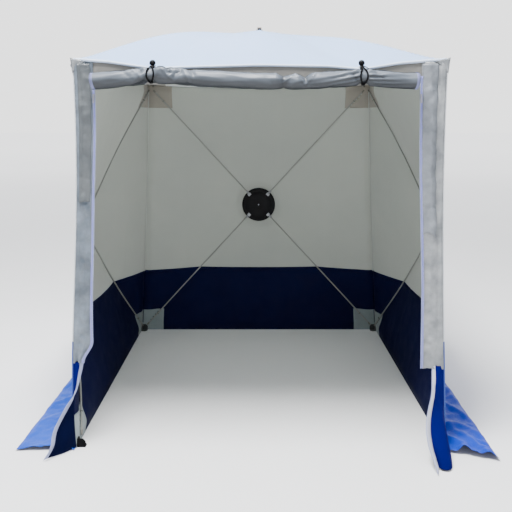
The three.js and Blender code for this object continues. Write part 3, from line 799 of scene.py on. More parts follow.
# ------------------------------------------------------------------ hubs
for key, W in WALLS.items():
    n, u, w_ = (Vector(W[k]) for k in ("n", "u", "w"))
    top = Vector(W["hub"] + W["n"] * W["rise"] + shift)
    prof = [(0, -.003), (.026, -.003), (.028, -.0045), (.030, -.005), (.034, -.034), (.088, -.034), (.092, -.006), (.094, -.003),
            (.119, -.003), (.1235, -.0042), (.127, -.0082), (.127, -.031), (.1255, -.0345), (.121, -.0375), (.113, -.0386),
            (.104, -.0386), (.102, -.0378), (.099, -.0378), (.097, -.0388), (.060, -.0396), (.030, -.0399), (.029, -.0392), (.012, -.0392),
            (.011, -.0401), (.006, -.0405), (0, -.0405)]
    o = lathe(f"hub_{key}_disc", prof, top, u, w_, n, [M["hub"]], seg=96)
    recalc(o)
    cuts = []
    for c in W["c"]:
        pivot, tip, d, side = rod_data(key, c)
        mat = Matrix.Identity(4)
        for r, ax in enumerate((d, side, W["n"])):
            for k in range(3):
                mat[k][r] = ax[k]
        mat.translation = Vector(pivot + shift)
        v, f = box_mesh((-.013, -.0105, -.030), (.040, .0105, .014))
        cut = mesh_object("cut", [mat @ Vector(p) for p in v], f)
        recalc(cut)
        m = o.modifiers.new("slot", "BOOLEAN")
        m.operation = "DIFFERENCE"
        m.solver = "EXACT"
        m.object = cut
        cuts.append(cut)
    apply_all(o)
    for cut in cuts:
        bpy.data.objects.remove(cut)
    sharp_smooth(o, 0.5)
    bevel(o, .0009, 2, 0.7)
    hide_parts(f"hub_{key}_inner")
    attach(o, f"hub_{key}")
    # in the inner face: a bright keeper beside each rod, and a screw in the middle
    for i, c in enumerate(W["c"]):
        pivot, tip, d, side = rod_data(key, c)
        at = Vector(W["hub"] + W["n"] * (W["rise"] - .0386) + d * .1065 + shift)
        # bridge over the slot that keeps the pin in
        br = []
        v, f = box_mesh((-.0105, -.0130, -.0020), (.0095, .0130, .0002))
        mat = Matrix.Identity(4)
        for r, ax in enumerate((d, side, -W["n"])):
            for k in range(3):
                mat[k][r] = ax[k]
        mat.translation = at
        b_ = mesh_object(f"hub_{key}_keeper_{NAME[c]}", [mat @ Vector((p[0], p[1], -p[2])) for p in v], f, [M["steel"]])
        recalc(b_)
        bevel(b_, .0012, 2)
        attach(b_, f"hub_{key}")
    s_ = lathe(f"hub_{key}_screw", [(0, .0), (.0052, .0), (.0052, .0012), (.0042, .0022), (.0022, .0024), (.0018, .0014), (0, .0014)],
               top - n * .0405, u, w_, -n, [M["slider"]], seg=24)
    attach(s_, f"hub_{key}")
    # outer plate
    prof = [(0, -.0026), (.0255, -.0026), (.026, -.002), (.026, .0012), (.030, .002), (.0605, .002), (.062, .0030), (.062, .0078), (.0605, .0096),
            (.056, .0112), (.052, .0118), (.051, .0110), (.049, .0110), (.048, .0122), (.044, .0142), (.030, .0160), (.014, .0168), (0, .0170)]
    p_ = lathe(f"hub_{key}_plate", prof, top, u, w_, n, [M["hub"]], seg=72)
    recalc(p_)
    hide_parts(f"hub_{key}_outer")
    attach(p_, f"hub_{key}")
    down = -W["w"]
    for i, sx in enumerate((-1, 1)):
        ear = []
        prof2 = [(.006, .0105), (.0225, .0105), (.0225, .021)] + [(.015 + .0075 * math.cos(a), .0215 + .0065 * math.sin(a)) for a in np.linspace(0, math.pi, 9)] + [(.0075, .0150)]
        pts = []
        for x_ in (sx * .0140, sx * .0185):
            for (dd, hh) in prof2:
                pts.append(W["hub"] + W["n"] * (W["rise"] + hh) + W["u"] * x_ + down * dd + shift)
        k = len(prof2)
        fs = [tuple(range(k)), tuple(range(2 * k - 1, k - 1, -1))] + [(j, (j + 1) % k, (j + 1) % k + k, j + k) for j in range(k)]
        e_ = mesh_object(f"hub_{key}_ear_{i}", pts, fs, [M["hub"]], smooth=False)
        recalc(e_)
        bevel(e_, .0007, 2)
        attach(e_, f"hub_{key}")
    hinge = W["hub"] + W["n"] * (W["rise"] + .023) + down * .015 + shift
    q = np.array([-.0192, -.0188, -.0180, .0180, .0188, .0192])
    ax_ = tube(f"hub_{key}_strap_pin", hinge + W["u"] * q[:, None], [.001, .0026, .0021, .0021, .0026, .001], [M["steel"]], sides=12, up=tuple(W["n"]))
    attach(ax_, f"hub_{key}")
    for i in range(6):
        a = math.pi / 3 * i + math.pi / 6
        at = top + u * (.0555 * math.cos(a)) + w_ * (.0555 * math.sin(a)) + n * .0100
        s_ = lathe(f"hub_{key}_plate_screw_{i}", [(0, .0), (.0034, .0), (.0034, .0016), (.0026, .0026), (.0012, .0028), (.0010, .0018), (0, .0018)], at, u, w_, n, [M["slider"]], seg=16)
        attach(s_, f"hub_{key}")
    # webbing pull: a loop of tape rolled round the pin and sewn back on itself
    L = .089
    pts = []
    for a in np.linspace(-0.5 * math.pi, 0.5 * math.pi, 9):
        pts.append((-.0036 * math.cos(a), .0036 * math.sin(a)))
    seq = [(.0, -.0036)] + []
    front = [(d_, .0022 + .0016 * math.sin(math.pi * min(1, d_ / L)) + .0050 * math.exp(-((d_ - .062) / .02) ** 2)) for d_ in np.linspace(.006, L, 20)]
    back = [(d_, -.0018 - .0006 * math.sin(math.pi * min(1, d_ / L)) - .0 * d_) for d_ in np.linspace(L, .006, 20)]
    end = [(L + .0035 * math.cos(a), .0002 + .0022 * math.sin(a)) for a in np.linspace(0.5 * math.pi, -0.5 * math.pi, 7)]
    loop = front + end + back + [(-.0036 * math.cos(a) + .0, .0036 * math.sin(a)) for a in np.linspace(-0.5 * math.pi, 0.5 * math.pi, 9)]
    cols = np.linspace(-.0122, .0122, 9)
    G = np.array([[hinge + down * dd + W["n"] * hh + W["u"] * x_ for x_ in cols] for dd, hh in loop])
    lens = np.concatenate([[0], np.cumsum([np.hypot(loop[i + 1][0] - loop[i][0], loop[i + 1][1] - loop[i][1]) for i in range(len(loop) - 1)])])
    UV = np.array([[(x_, l_) for x_ in cols] for l_ in lens])
    st = grid_object(f"pull_{key}_webbing", G, [M["webbing"]], UV, close_rows=True)
    recalc(st)
    solidify(st, .0012, 0)
    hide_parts(f"hub_{key}_pull")
    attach(st, f"pull_{key}")
    # sewn box at the root of the loop
    dash = []
    for dd in (.016, .034):
        for x_ in np.arange(-.010, .0101, .0025):
            dash.append((dd, x_, 0))
    for dd in np.arange(.016, .0341, .0025):
        for x_ in (-.010, .010):
            dash.append((dd, x_, 1))
    vv, ff = [], []
    for dd, x_, way in dash:
        hh = .0022 + .0016 * math.sin(math.pi * dd / L) + .0008
        c0 = hinge + down * dd + W["n"] * hh + W["u"] * x_
        a1 = (down if way else W["u"]) * .0008
        b1 = (W["u"] if way else down) * .00025
        k = len(vv)
        for z_ in (0, .0003):
            vv += [c0 - a1 - b1 + W["n"] * z_, c0 + a1 - b1 + W["n"] * z_, c0 + a1 + b1 + W["n"] * z_, c0 - a1 + b1 + W["n"] * z_]
        ff += [(k + 3, k + 2, k + 1, k), (k + 4, k + 5, k + 6, k + 7), (k, k + 1, k + 5, k + 4), (k + 1, k + 2, k + 6, k + 5), (k + 2, k + 3, k + 7, k + 6), (k + 3, k, k + 4, k + 7)]
    st = mesh_object(f"pull_{key}_stitches", vv, ff, [M["stitch"]], smooth=False)
    recalc(st)
    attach(st, f"pull_{key}")

# ------------------------------------------------------------------ corner cups keep their shape
for k, name in NAME.items():
    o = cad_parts[f"corner_cup_{name}"]
    o.data.materials.clear()
    o.data.materials.append(M["cup_top"] if k[1] == "T" else M["cup_low"] if k[0] == "R" else M["cup"])
    bevel(o, .0012, 2)

# ------------------------------------------------------------------ bindings along the edges
def seam_along(name, a, b, off, mats, radius=.0032, split=None, n=60, start=0.0, stop=1.0):
    s = np.linspace(start, stop, n)
    p = edge(a, b, s) + np.asarray(off) + shift
    o = tube(name, p, radius, mats, sides=8)
    if split is not None:
        zc = np.repeat((p[:-1, 2] + p[1:, 2]) / 2, 8)
        fm = np.concatenate([(zc < split).astype(int), [1, 0]])
        o.data.polygons.foreach_set("material_index", fm.astype(np.int32))
    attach(o, "shelter")
    return o


for side, sg in (("left", -1), ("right", 1)):
    T_, B_ = ("RTL", "RBL") if sg < 0 else ("RTR", "RBR")
    seam_along(f"binding_rear_{side}", B_, T_, (sg * .001, .001, 0), [M["binding"], M["binding_blue"]], split=SEAM_BACK, start=0.002)
    T_, B_ = ("FTL", "FBL") if sg < 0 else ("FTR", "FBR")
    seam_along(f"binding_front_{side}", B_, T_, (sg * .0008, -.001, 0), [M["binding"], M["binding_blue"]], radius=.0036, split=SEAM_FRONT, start=0.003)
    seam_along(f"binding_eave_{side}", "FTL" if sg < 0 else "FTR", "RTL" if sg < 0 else "RTR", (sg * .001, 0, .001), [M["binding"]])
for side, sg in (("left", -1), ("right", 1)):
    # pale seam tape inside the rear corners: partly real seam tape, partly painted light that lifts the shade in the
    # corner
    seam_along(f"binding_inner_{side}", "RBL" if sg < 0 else "RBR", "RTL" if sg < 0 else "RTR", (-sg * .0056, -.0056, 0), [M["seam_in"], M["navy_in"]], radius=.0020, split=SEAM_BACK, start=.03, stop=.985)
seam_along("binding_eave_back", "RTL", "RTR", (0, .001, .001), [M["binding"]])


# ------------------------------------------------------------------ front header, under the roof's edge
def zip_x(side, z):
    a, b = ("FBL", "FTL") if side < 0 else ("FBR", "FTR")
    return edge(a, b, np.asarray(z, float) / Z)[..., 0]


xs = np.linspace(-.866, .866, 121)
k = np.linspace(0, 1, 9)[:, None]
hz = hem_z(xs)[None]
zz = hz - .004 - .074 * k + 0 * xs[None]
wob = .0018 * fbm(np.stack([xs[None] * 9 + 0 * k, k * 2 + 0 * xs[None], 0 * xs[None] + 0 * k + 31], -1), 3)
P = np.stack([np.broadcast_to(xs[None], zz.shape), FRONT - .0032 - .0020 * np.sin(math.pi * k) + wob, zz], -1) + shift
M["header"] = cloth("header_cloth_grey", (0.22, 0.215, 0.195), (0.17, 0.165, 0.155), rough=0.75, wrinkle=0.4)
o = grid_object("header_cloth", P, [M["header"], M["roof_in"]], np.stack([P[..., 0] + 1, P[..., 2]], -1), outward=(0, -1, 0))
solidify(o, .0012, -1, inner=1)
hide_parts("front_header")
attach(o, "shelter")
# the roof's front edge is rolled round a cord
s = np.linspace(.004, .996, 90)
p = edge("FTL", "FTR", s) + np.array([0, -.0075, -.001]) + shift
o = tube("hem_roll", p, .0068, [M["hem"]], sides=12)
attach(o, "shelter")
p2 = edge("FTL", "FTR", s) + np.array([0, -.0082, -.010]) + shift


def stitches(name, path, out, step=.006, long=.0036, wide=.0006, mat=None, lift=.0):
    """A row of short stitches along a path; out is the way the cloth faces."""
    path = np.asarray(path, float)
    seg = np.linalg.norm(np.diff(path, axis=0), axis=1)
    run = np.concatenate([[0], np.cumsum(seg)])
    out = np.asarray(out, float)
    vv, ff = [], []
    for a in np.arange(0, run[-1] - long, step):
        q = [np.array([np.interp(t, run, path[:, i]) for i in range(3)]) for t in (a, a + long)]
        d = q[1] - q[0]
        d /= np.linalg.norm(d) + 1e-9
        sd = np.cross(d, out)
        sd /= np.linalg.norm(sd) + 1e-9
        k = len(vv)
        vv += [q[0] - sd * wide + out * lift, q[1] - sd * wide + out * lift, q[1] + sd * wide + out * lift, q[0] + sd * wide + out * lift,
               (q[0] + q[1]) / 2 + out * (lift + .0006)]
        ff += [(k, k + 1, k + 4), (k + 1, k + 2, k + 4), (k + 2, k + 3, k + 4), (k + 3, k, k + 4), (k + 3, k + 2, k + 1, k)]
    o = mesh_object(name, vv, ff, [mat or M["stitch"]], smooth=False)
    return o


# ------------------------------------------------------------------ front strips beside the doorway
ZIPS = {"left": -.775, "right": .748}
for side, sg in (("left", -1), ("right", 1)):
    # upper strip: silver cloth from the roof down to 0.40 m, wrinkled, drawn tight at its binding
    top = float(hem_z(sg * .82)) - .010
    rows, cols = 150, 19
    z_low = .401 if sg < 0 else .372
    z = np.linspace(z_low, top, rows)[:, None]
    f = np.linspace(0, 1, cols)[None]
    xo = zip_x(sg, z) - sg * .004
    xi = ZIPS[side] + sg * (.003 + .007 * np.sin(2 * math.pi * (z - .4) / 1.33) * (1 if sg < 0 else .6) + (.046 if sg < 0 else .0) * sm((.50 - z) / .10))
    X = xo * (1 - f) + xi * f
    c = np.stack([X * 16, z * 11 + 0 * f, 0 * X + 40 + sg * 5], -1)
    slack = np.sin(math.pi * f) ** .8
    amp = .0105 * slack
    Yw = amp * fbm(c, 3) + .0062 * slack * ridged(np.stack([X * 11 + z * 5, z * 13 - X * 3, 0 * X + sg * 3], -1), 2) - .0050 * slack
    fold = np.abs(f - .62 - .10 * np.sin(z * 3.1 + sg) - .05 * np.sin(z * 11))
    Yw = Yw - .0085 * np.exp(-(fold / .10) ** 1.6) * (.55 + .45 * np.sin(z * 4.4 + 2 * sg)) + .0045 * np.exp(-(np.abs(f - .28 - .07 * np.sin(z * 5.3)) / .07) ** 2)
    # diagonal pulls down from the top and near the bottom
    Yw = Yw + .003 * slack * np.sin((z * 46 + X * 60)) * sm((z - 1.2) / .4) + .0028 * slack * np.sin(z * 60 - X * 70) * sm((.75 - z) / .3)
    Yv = FRONT - .0088 - .002 * slack + np.clip(Yw, -.016, .0065)
    ragged = .016 * perlin(np.stack([f * 4.3 + 0 * z, 0 * X + 3.3, 0 * X + sg * 2.2], -1)) + .010 * np.abs(perlin(np.stack([f * 11 + 0 * z, 0 * X + 1.7, 0 * X], -1)))
    P = np.stack([X, np.broadcast_to(Yv, X.shape), z + ragged * np.clip(1 - (z - z_low) / .08, 0, 1)], -1) + shift
    if sg < 0:
        P[..., 0] += .0022 * np.sin(z * 9) * (f)
    o = grid_object(f"strip_{side}_upper_cloth", P, [M["strip_l"] if sg < 0 else M["strip"]], np.stack([X + 1, z + 0 * f], -1), outward=(0, -1, 0))
    solidify(o, .0010, 0)
    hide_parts(f"front_strip_{side}_upper")
    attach(o, "shelter")
    inner = P[:, -1]
    # the spare width is folded back on itself: a second layer down part of the strip. Its dark grey is partly painted
    # shade, and it reaches up under the roof's hem as a painted shadow there.
    i0, i1 = (79, 149) if sg < 0 else (64, 149)
    lay = P[i0:i1, 3:16].copy() if sg < 0 else P[i0:i1, 6:18].copy()
    rr_, cc_ = lay.shape[:2]
    lay[..., 1] -= .0036 + .0030 * np.sin(np.linspace(0, math.pi, cc_))[None] + .002 * fbm(np.stack([lay[..., 0] * 30, lay[..., 2] * 17, 0 * lay[..., 0] + 90 + sg], -1), 3)
    lay[..., 0] += .004 * fbm(np.stack([lay[..., 2] * 9, 0 * lay[..., 0] + sg, 0 * lay[..., 0]], -1), 2)
    ragged_ = (.020 * np.sin(np.linspace(0, 2.6, cc_)) + .007 * perlin(np.stack([np.linspace(0, 5, cc_), np.full(cc_, 2.2 + sg), np.zeros(cc_)], -1))) * (1 if sg > 0 else .45)
    lay[:, :, 2] += ragged_[None] * np.clip(1 - np.arange(rr_) / 14, 0, 1)[:, None]
    o = grid_object(f"strip_{side}_fold", lay, [M["strip_fold"] if sg < 0 else M["strip_fold_r"]], np.stack([lay[..., 0] + 1, lay[..., 2]], -1), outward=(0, -1, 0))
    solidify(o, .0009, 0)
    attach(o, "shelter")

    # zip tape on the strip's inner edge, with its teeth
    wide = .0065
    tx = inner[:, 0][:, None] - sg * np.linspace(.003, -wide, 5)[None] * -1 * -1
    tz = inner[:, 2][:, None] + 0 * tx
    ty = inner[:, 1][:, None] - .0034 - .0004 * np.sin(np.linspace(0, math.pi, 5))[None] + 0 * tx
    tx = inner[:, 0][:, None] + sg * np.linspace(wide, -.004, 5)[None]
    T3 = np.stack([tx, ty, tz], -1)
    T3 = T3[tz[:, 0] < (1.672 if sg < 0 else 1.742) + shift[2]]
    tx, tz = T3[..., 0], T3[..., 2]
    o = grid_object(f"zip_tape_{side}_upper", T3, [M["tape_up"]], np.stack([tx, tz], -1), outward=(0, -1, 0))
    solidify(o, .0008, 0)
    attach(o, "shelter")
    pth = T3[:, -1] + np.array([-sg * .0008, -.0002, 0])
    run = np.concatenate([[0], np.cumsum(np.linalg.norm(np.diff(pth, axis=0), axis=1))])
    vv, ff = [], []
    for a in np.arange(0, run[-1], .0042):
        cpt = np.array([np.interp(a, run, pth[:, i]) for i in range(3)])
        v, fc = box_mesh((-.0022, -.0016, -.0011), (.0022, .0016, .0011))
        kk = len(vv)
        vv += [np.array(q) + cpt for q in v]
        ff += [tuple(i + kk for i in q) for q in fc]
    o = mesh_object(f"zip_teeth_{side}_upper", vv, ff, [M["zipbody"]], smooth=False)
    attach(o, "shelter")
    o = stitches(f"tape_stitch_{side}_upper", T3[:, 1] + np.array([0, -.0010, 0]), (0, -1, 0), lift=.0)
    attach(o, "shelter")

    # lower flap: the same width pulled out over the skirt in the ground's direction
    rows, cols = 90, 33
    zc = np.linspace(.0075, .401, rows)[:, None]
    c01 = zc / .400
    fr = (1 - np.clip(c01, 0, 1)) ** 1.6
    c_in, line = ((0, .12, .26, .35, .55, .65, 1), (-.975, -.944, -.945, -.926, -.882, -.857, -.829)) if sg < 0 else ((0, .2, .37, .5, .68, .85, 1), (.756, .745, .750, .762, .792, .803, .806))
    xo = zip_x(sg, zc) - sg * .004
    yo = FRONT - .0055 + 0 * zc
    if sg < 0:
        xb, yb = -.972, -.982
    else:
        xb, yb = .766, -1.094
    x_in = sum(np.interp(c01 + k * .03, c_in, line) for k in (-2, -1, 0, 1, 2)) / 5
    y_in = (FRONT - .0055) * (1 - fr) + yb * fr
    f = np.linspace(0, 1, cols)[None]
    X = xo * (1 - f) + x_in * f
    Yf = yo * (1 - f) + y_in * f
    dx, dy = x_in - xo, y_in - yo
    ln = np.hypot(dx, dy) + 1e-6
    nx, ny = -dy / ln, dx / ln
    sl = np.sin(math.pi * f) * sm(zc / .05 + .3)
    off = .010 * sl * fbm(np.stack([f * 1.4 + 0 * zc, zc * 7 + 0 * f, 0 * f + 0 * zc + 60 + sg], -1), 3)
    off = off + .007 * np.sin(f * 5.0 + zc * 9) * sl * fr
    # free edge waves a little
    off = off + .010 * f ** 2 * fr * np.sin(zc * 23 + (0 if sg < 0 else 1.4))
    X2, Y2 = X + nx * off, Yf + ny * off
    if sg > 0:  # low down the right flap bellies out
        X2 = X2 + .018 * np.sin(math.pi * np.minimum(1, f * 1.5)) * sm((.24 - zc) / .16)
        Y2 = Y2 - .095 * np.sin(math.pi * np.minimum(1, f * 1.25)) * sm((.24 - zc) / .22)
    Z2 = zc + 0 * f
    if sg < 0:
        Z2 = Z2 - .004 * np.sin(math.pi * f) * sm(1 - zc / .1)
    P = np.stack([X2, Y2, np.maximum(Z2, .0035)], -1) + shift
    mats = [M["flap"], M["flap_in"]]
    lens = np.concatenate([np.zeros((1, cols)), np.cumsum(np.linalg.norm(np.diff(P, axis=0), axis=-1), axis=0)])
    wid = np.concatenate([np.zeros((rows, 1)), np.cumsum(np.linalg.norm(np.diff(P, axis=1), axis=-1), axis=1)], 1)
    o = grid_object(f"flap_{side}_cloth", P, mats, np.stack([wid, lens], -1), outward=(0, -1, 0), probe=(rows - 4, cols // 2))
    solidify(o, .0012, 0, inner=1)
    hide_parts(f"front_strip_{side}_lower")
    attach(o, "shelter")
    # its zip tape
    edge_p = P[:, -1]
    back = P[:, -4]
    dirv = back - edge_p
    dirv /= np.linalg.norm(dirv, axis=1)[:, None] + 1e-9
    nn = np.stack([nx[:, 0], ny[:, 0], 0 * nx[:, 0]], -1)
    face = -1 if (nn[rows // 2] @ np.array([0.3 * sg, -1, 0])) < 0 else 1
    for tag, mt, away in (("out", M["tape"] if sg < 0 else M["tape_white"], 1), ("in", M["tape"] if sg < 0 else M["tape_white"], -1)):
        # the hem tape; the right one's is wide and left loose low down
        wt = (.013 + 0 * c01 if sg < 0 else .009 + .042 * (1 - np.clip(c01, 0, 1)) ** 1.4)[:, :, None]
        q = -.005 + (wt + .005) * np.linspace(0, 1, 5)[None, :, None]
        T3 = edge_p[:, None] + dirv[:, None] * q + nn[:, None] * (face * away * .0014)
        o = grid_object(f"zip_tape_{side}_lower_{tag}", T3, [mt], np.stack([q[..., 0], lens[:, -5:]], -1), outward=nn[rows // 2] * face * away)
        solidify(o, .0008, 0)
        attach(o, "shelter")
    pth = edge_p - dirv * .005
    run = np.concatenate([[0], np.cumsum(np.linalg.norm(np.diff(pth, axis=0), axis=1))])
    vv, ff = [], []
    for a in np.arange(0, run[-1], .0042):
        cpt = np.array([np.interp(a, run, pth[:, i]) for i in range(3)])
        v, fc = box_mesh((-.0018, -.0018, -.0011), (.0018, .0018, .0011))
        kk = len(vv)
        vv += [np.array(q) + cpt for q in v]
        ff += [tuple(i + kk for i in q) for q in fc]
    o = mesh_object(f"zip_teeth_{side}_lower", vv, ff, [M["zipbody"]], smooth=False)
    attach(o, "shelter")

# ------------------------------------------------------------------ the rolled door: one sheet wound on itself
ROLL_Y, ROLL_R, X0, X1 = -.919, .0385, -.772, .722
NU, NV = 560, 150
turns, pitch = 12.9, .00266
phi = np.linspace(0, 2 * math.pi * turns, NU)[:, None]
xs = np.linspace(X0, X1, NV)
# denser towards the two ties
xs = np.unique(np.round(np.concatenate([np.linspace(X0, X1, NV - 40), *[np.linspace(t - .05, t + .05, 20) for t in TIES],
                                        np.linspace(.045, .285, 62), np.linspace(-.475, -.295, 46), np.linspace(-.625, -.515, 26)]), 5))[None]
NV = xs.shape[1]
ROLL_R = .0405
r0 = ROLL_R - pitch * (turns - phi / (2 * math.pi))


ROLL = ((-.80, -.742, -.68, -.60, -.53, -.49, -.44, -.276, -.05, .103, .27, .40, .47, .53, .638, .76),
        (1.706, 1.708, 1.713, 1.721, 1.733, 1.737, 1.734, 1.720, 1.709, 1.704, 1.710, 1.721, 1.729, 1.722, 1.711, 1.7055))


def roll_z(x):
    x = np.asarray(x, float)
    return sum(np.interp(x + k * .012, *ROLL) for k in (-2, -1, 0, 1, 2)) / 5


pinch = 0.0
for t in TIES:
    pinch = pinch + .17 * np.exp(-np.abs((xs - t) / .026) ** 2.4) + .06 * np.exp(-np.abs((xs - t) / .07))
# the slack roll is a little oval, with creases where it bends, and flutes fanning out from the ties
crease = 0.0
for cx, dep, tilt in ((.123, .17, .35), (.215, .14, -.30), (-.03, .07, .2), (-.30, .05, -.3), (.33, .06, .2), (.62, .05, -.2), (-.62, .06, .25)):
    a = phi - math.pi * 1.5
    crease = crease + 1.9 * dep * np.exp(-np.abs((xs - cx - tilt * .05 * np.sin(a)) / .020) ** 1.1) * (0.55 + 0.45 * np.cos(a + 2.4 * tilt))
for cx, dep, half, lean in ((.112, .16, .060, .30), (.205, .14, .050, -.25), (-.405, .10, .046, .5), (-.335, .08, .030, -.5), (.345, .14, .050, .3), (.545, .22, .055, -.4), (-.585, .18, .045, .5), (-.10, .10, .080, .2), (.655, .12, .045, .3)):
    a = phi - math.radians(25)
    at_x = cx + lean * .050 * np.cos(a)
    crease = crease + dep * np.clip(1 - np.abs(xs - at_x) / half, 0, 1) * (0.12 + 0.88 * np.clip(np.cos(a), 0, 1))
crease = crease * (.93 + .07 * sm((phi - 2 * math.pi * (turns - 2.2)) / 4.0))
flute = 0.0
for t in TIES:
    near = np.exp(-np.abs(xs - t) / .095) * sm((np.abs(xs - t) - .014) / .020)
    flute = flute + .24 * near * np.sin(phi * 7 + 5 * np.sin(phi + t * 9) + (xs - t) * 30)
wr = .050 * fbm(np.stack([xs * 6 + 0 * phi, np.cos(phi) * 1.2 + 0 * xs, np.sin(phi) * 1.2 + phi * .02 + 0 * xs], -1), 3)
wr2 = .050 * ridged(np.stack([xs * 9 + 0 * phi, np.cos(phi) * 1.6 + 0 * xs + 7, np.sin(phi) * 1.6 + 0 * xs], -1), 1) - .025
outer = sm((phi - 2 * math.pi * (turns - 1.15)) / 2.0)
k_r = 1 - pinch - crease + (flute + wr + wr2) * (.45 + .55 * outer)
# sharp folds where the slack cloth was caught as it was rolled: (x, arc) to (x, arc), half width, height
FOLDS = ((.1035, -.080, .1045, .030, .034, -.0115), (.0700, -.060, .0960, .030, .018, .0030),
         (.1035, .010, .1560, -.050, .012, .0036), (.1560, -.060, .2040, .022, .013, .0046),
         (.2040, -.080, .2060, .006, .034, -.0110), (.2060, .020, .2560, -.050, .013, .0040),
         (.2700, -.070, .3300, -.010, .030, -.0030), (.0300, -.020, .0700, .040, .026, -.0025),
         (-.4650, -.055, -.4020, .022, .015, .0050), (-.4300, -.070, -.4150, -.018, .015, -.0080), (-.4020, .022, -.3640, -.040, .017, -.0075),
         (-.3560, -.060, -.3220, .030, .015, .0045), (-.3300, -.070, -.3020, -.010, .017, -.0065),
         (-.5900, -.060, -.5330, .022, .014, .0045), (-.5560, -.070, -.5400, -.020, .014, -.0070), (-.6350, -.050, -.5850, .010, .022, -.0035),
         (.5200, -.060, .5600, .015, .016, -.0050), (.4100, -.050, .4400, .030, .014, -.0060), (.3500, -.060, .4000, -.005, .018, .0030))
around = (phi - math.radians(60) + math.pi) % (2 * math.pi) - math.pi
v_arc = ROLL_R * around
fold_h = 0.0
for u0, v0, u1, v1, half, high in FOLDS:
    ex, ev = u1 - u0, v1 - v0
    k_ = np.clip(((xs - u0) * ex + (v_arc - v0) * ev) / (ex * ex + ev * ev), 0, 1)
    far_ = np.hypot(xs - u0 - k_ * ex, v_arc - v0 - k_ * ev)
    tent = np.clip(1 - far_ / half, 0, 1)
    fold_h = fold_h + high * tent ** (1.0 if high < 0 else 1.4)
rr = np.clip(r0 * np.maximum(k_r, .62) + np.clip(fold_h, -.013, .006) * r0 / ROLL_R, .0032, .0448)
# each end's turns are not quite flush
xe = xs + .006 * np.sin(phi * .9) * sm((np.abs(xs) - .66) / .08) * np.sign(xs) * -1
xe = np.clip(xe, X0 - .004, X1 + .004)
ang = phi + math.radians(120)
Y = ROLL_Y + rr * np.cos(ang) * 1.0
Zr = roll_z(xs) + rr * np.sin(ang) * .98
P = np.stack([xe + 0 * phi, Y, Zr], -1) + shift
arc = np.concatenate([[0], np.cumsum((r0[1:, 0] + r0[:-1, 0]) / 2 * np.diff(phi[:, 0]))])
UV = np.stack([xs + 1 + 0 * phi, arc[:, None] + 0 * xs], -1)
cc = (xs[:, :-1] + xs[:, 1:]) / 2
fm = np.where(cc < X0 + .010, 1, np.where(cc > X1 - .009, 2, 0))
fm = np.broadcast_to(fm, (NU - 1, NV - 1)).ravel()
o = grid_object("door_sheet", P, [M["door"], M["door_end"], M["door_end"]], UV, face_mats=fm)
# the fold attribute holds each fold valley's depth, where the door's colour gets painted shade
o.data.attributes.new("fold", "FLOAT", "POINT").data.foreach_set("value", (np.clip(-fold_h / .0115, 0, 1) + 0 * xs).astype(np.float32).ravel())
solidify(o, .0009, 0)
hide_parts("door_roll")
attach(o, "shelter")
door = o
# the sheet's top runs from the header's hem to the roll's back
q = np.linspace(0, 1, 9)[:, None]
xs2 = np.linspace(X0 + .004, X1 - .004, 90)[None]
a_z = hem_z(xs2) - .070
b_z = roll_z(xs2) + .020
zz = a_z * (1 - q) + b_z * q
yy = (FRONT - .0072) * (1 - q) + (ROLL_Y + .0330) * q + .002 * fbm(np.stack([xs2 * 8 + 0 * q, q * 2 + 0 * xs2, 0 * q + 0 * xs2 + 77], -1), 3)
P = np.stack([xs2 + 0 * q, yy, zz], -1) + shift
o = grid_object("door_top_cloth", P, [M["door"]], np.stack([xs2 + 1 + 0 * q, zz], -1), outward=(0, -1, 0))
solidify(o, .0009, 0)
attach(o, "shelter")


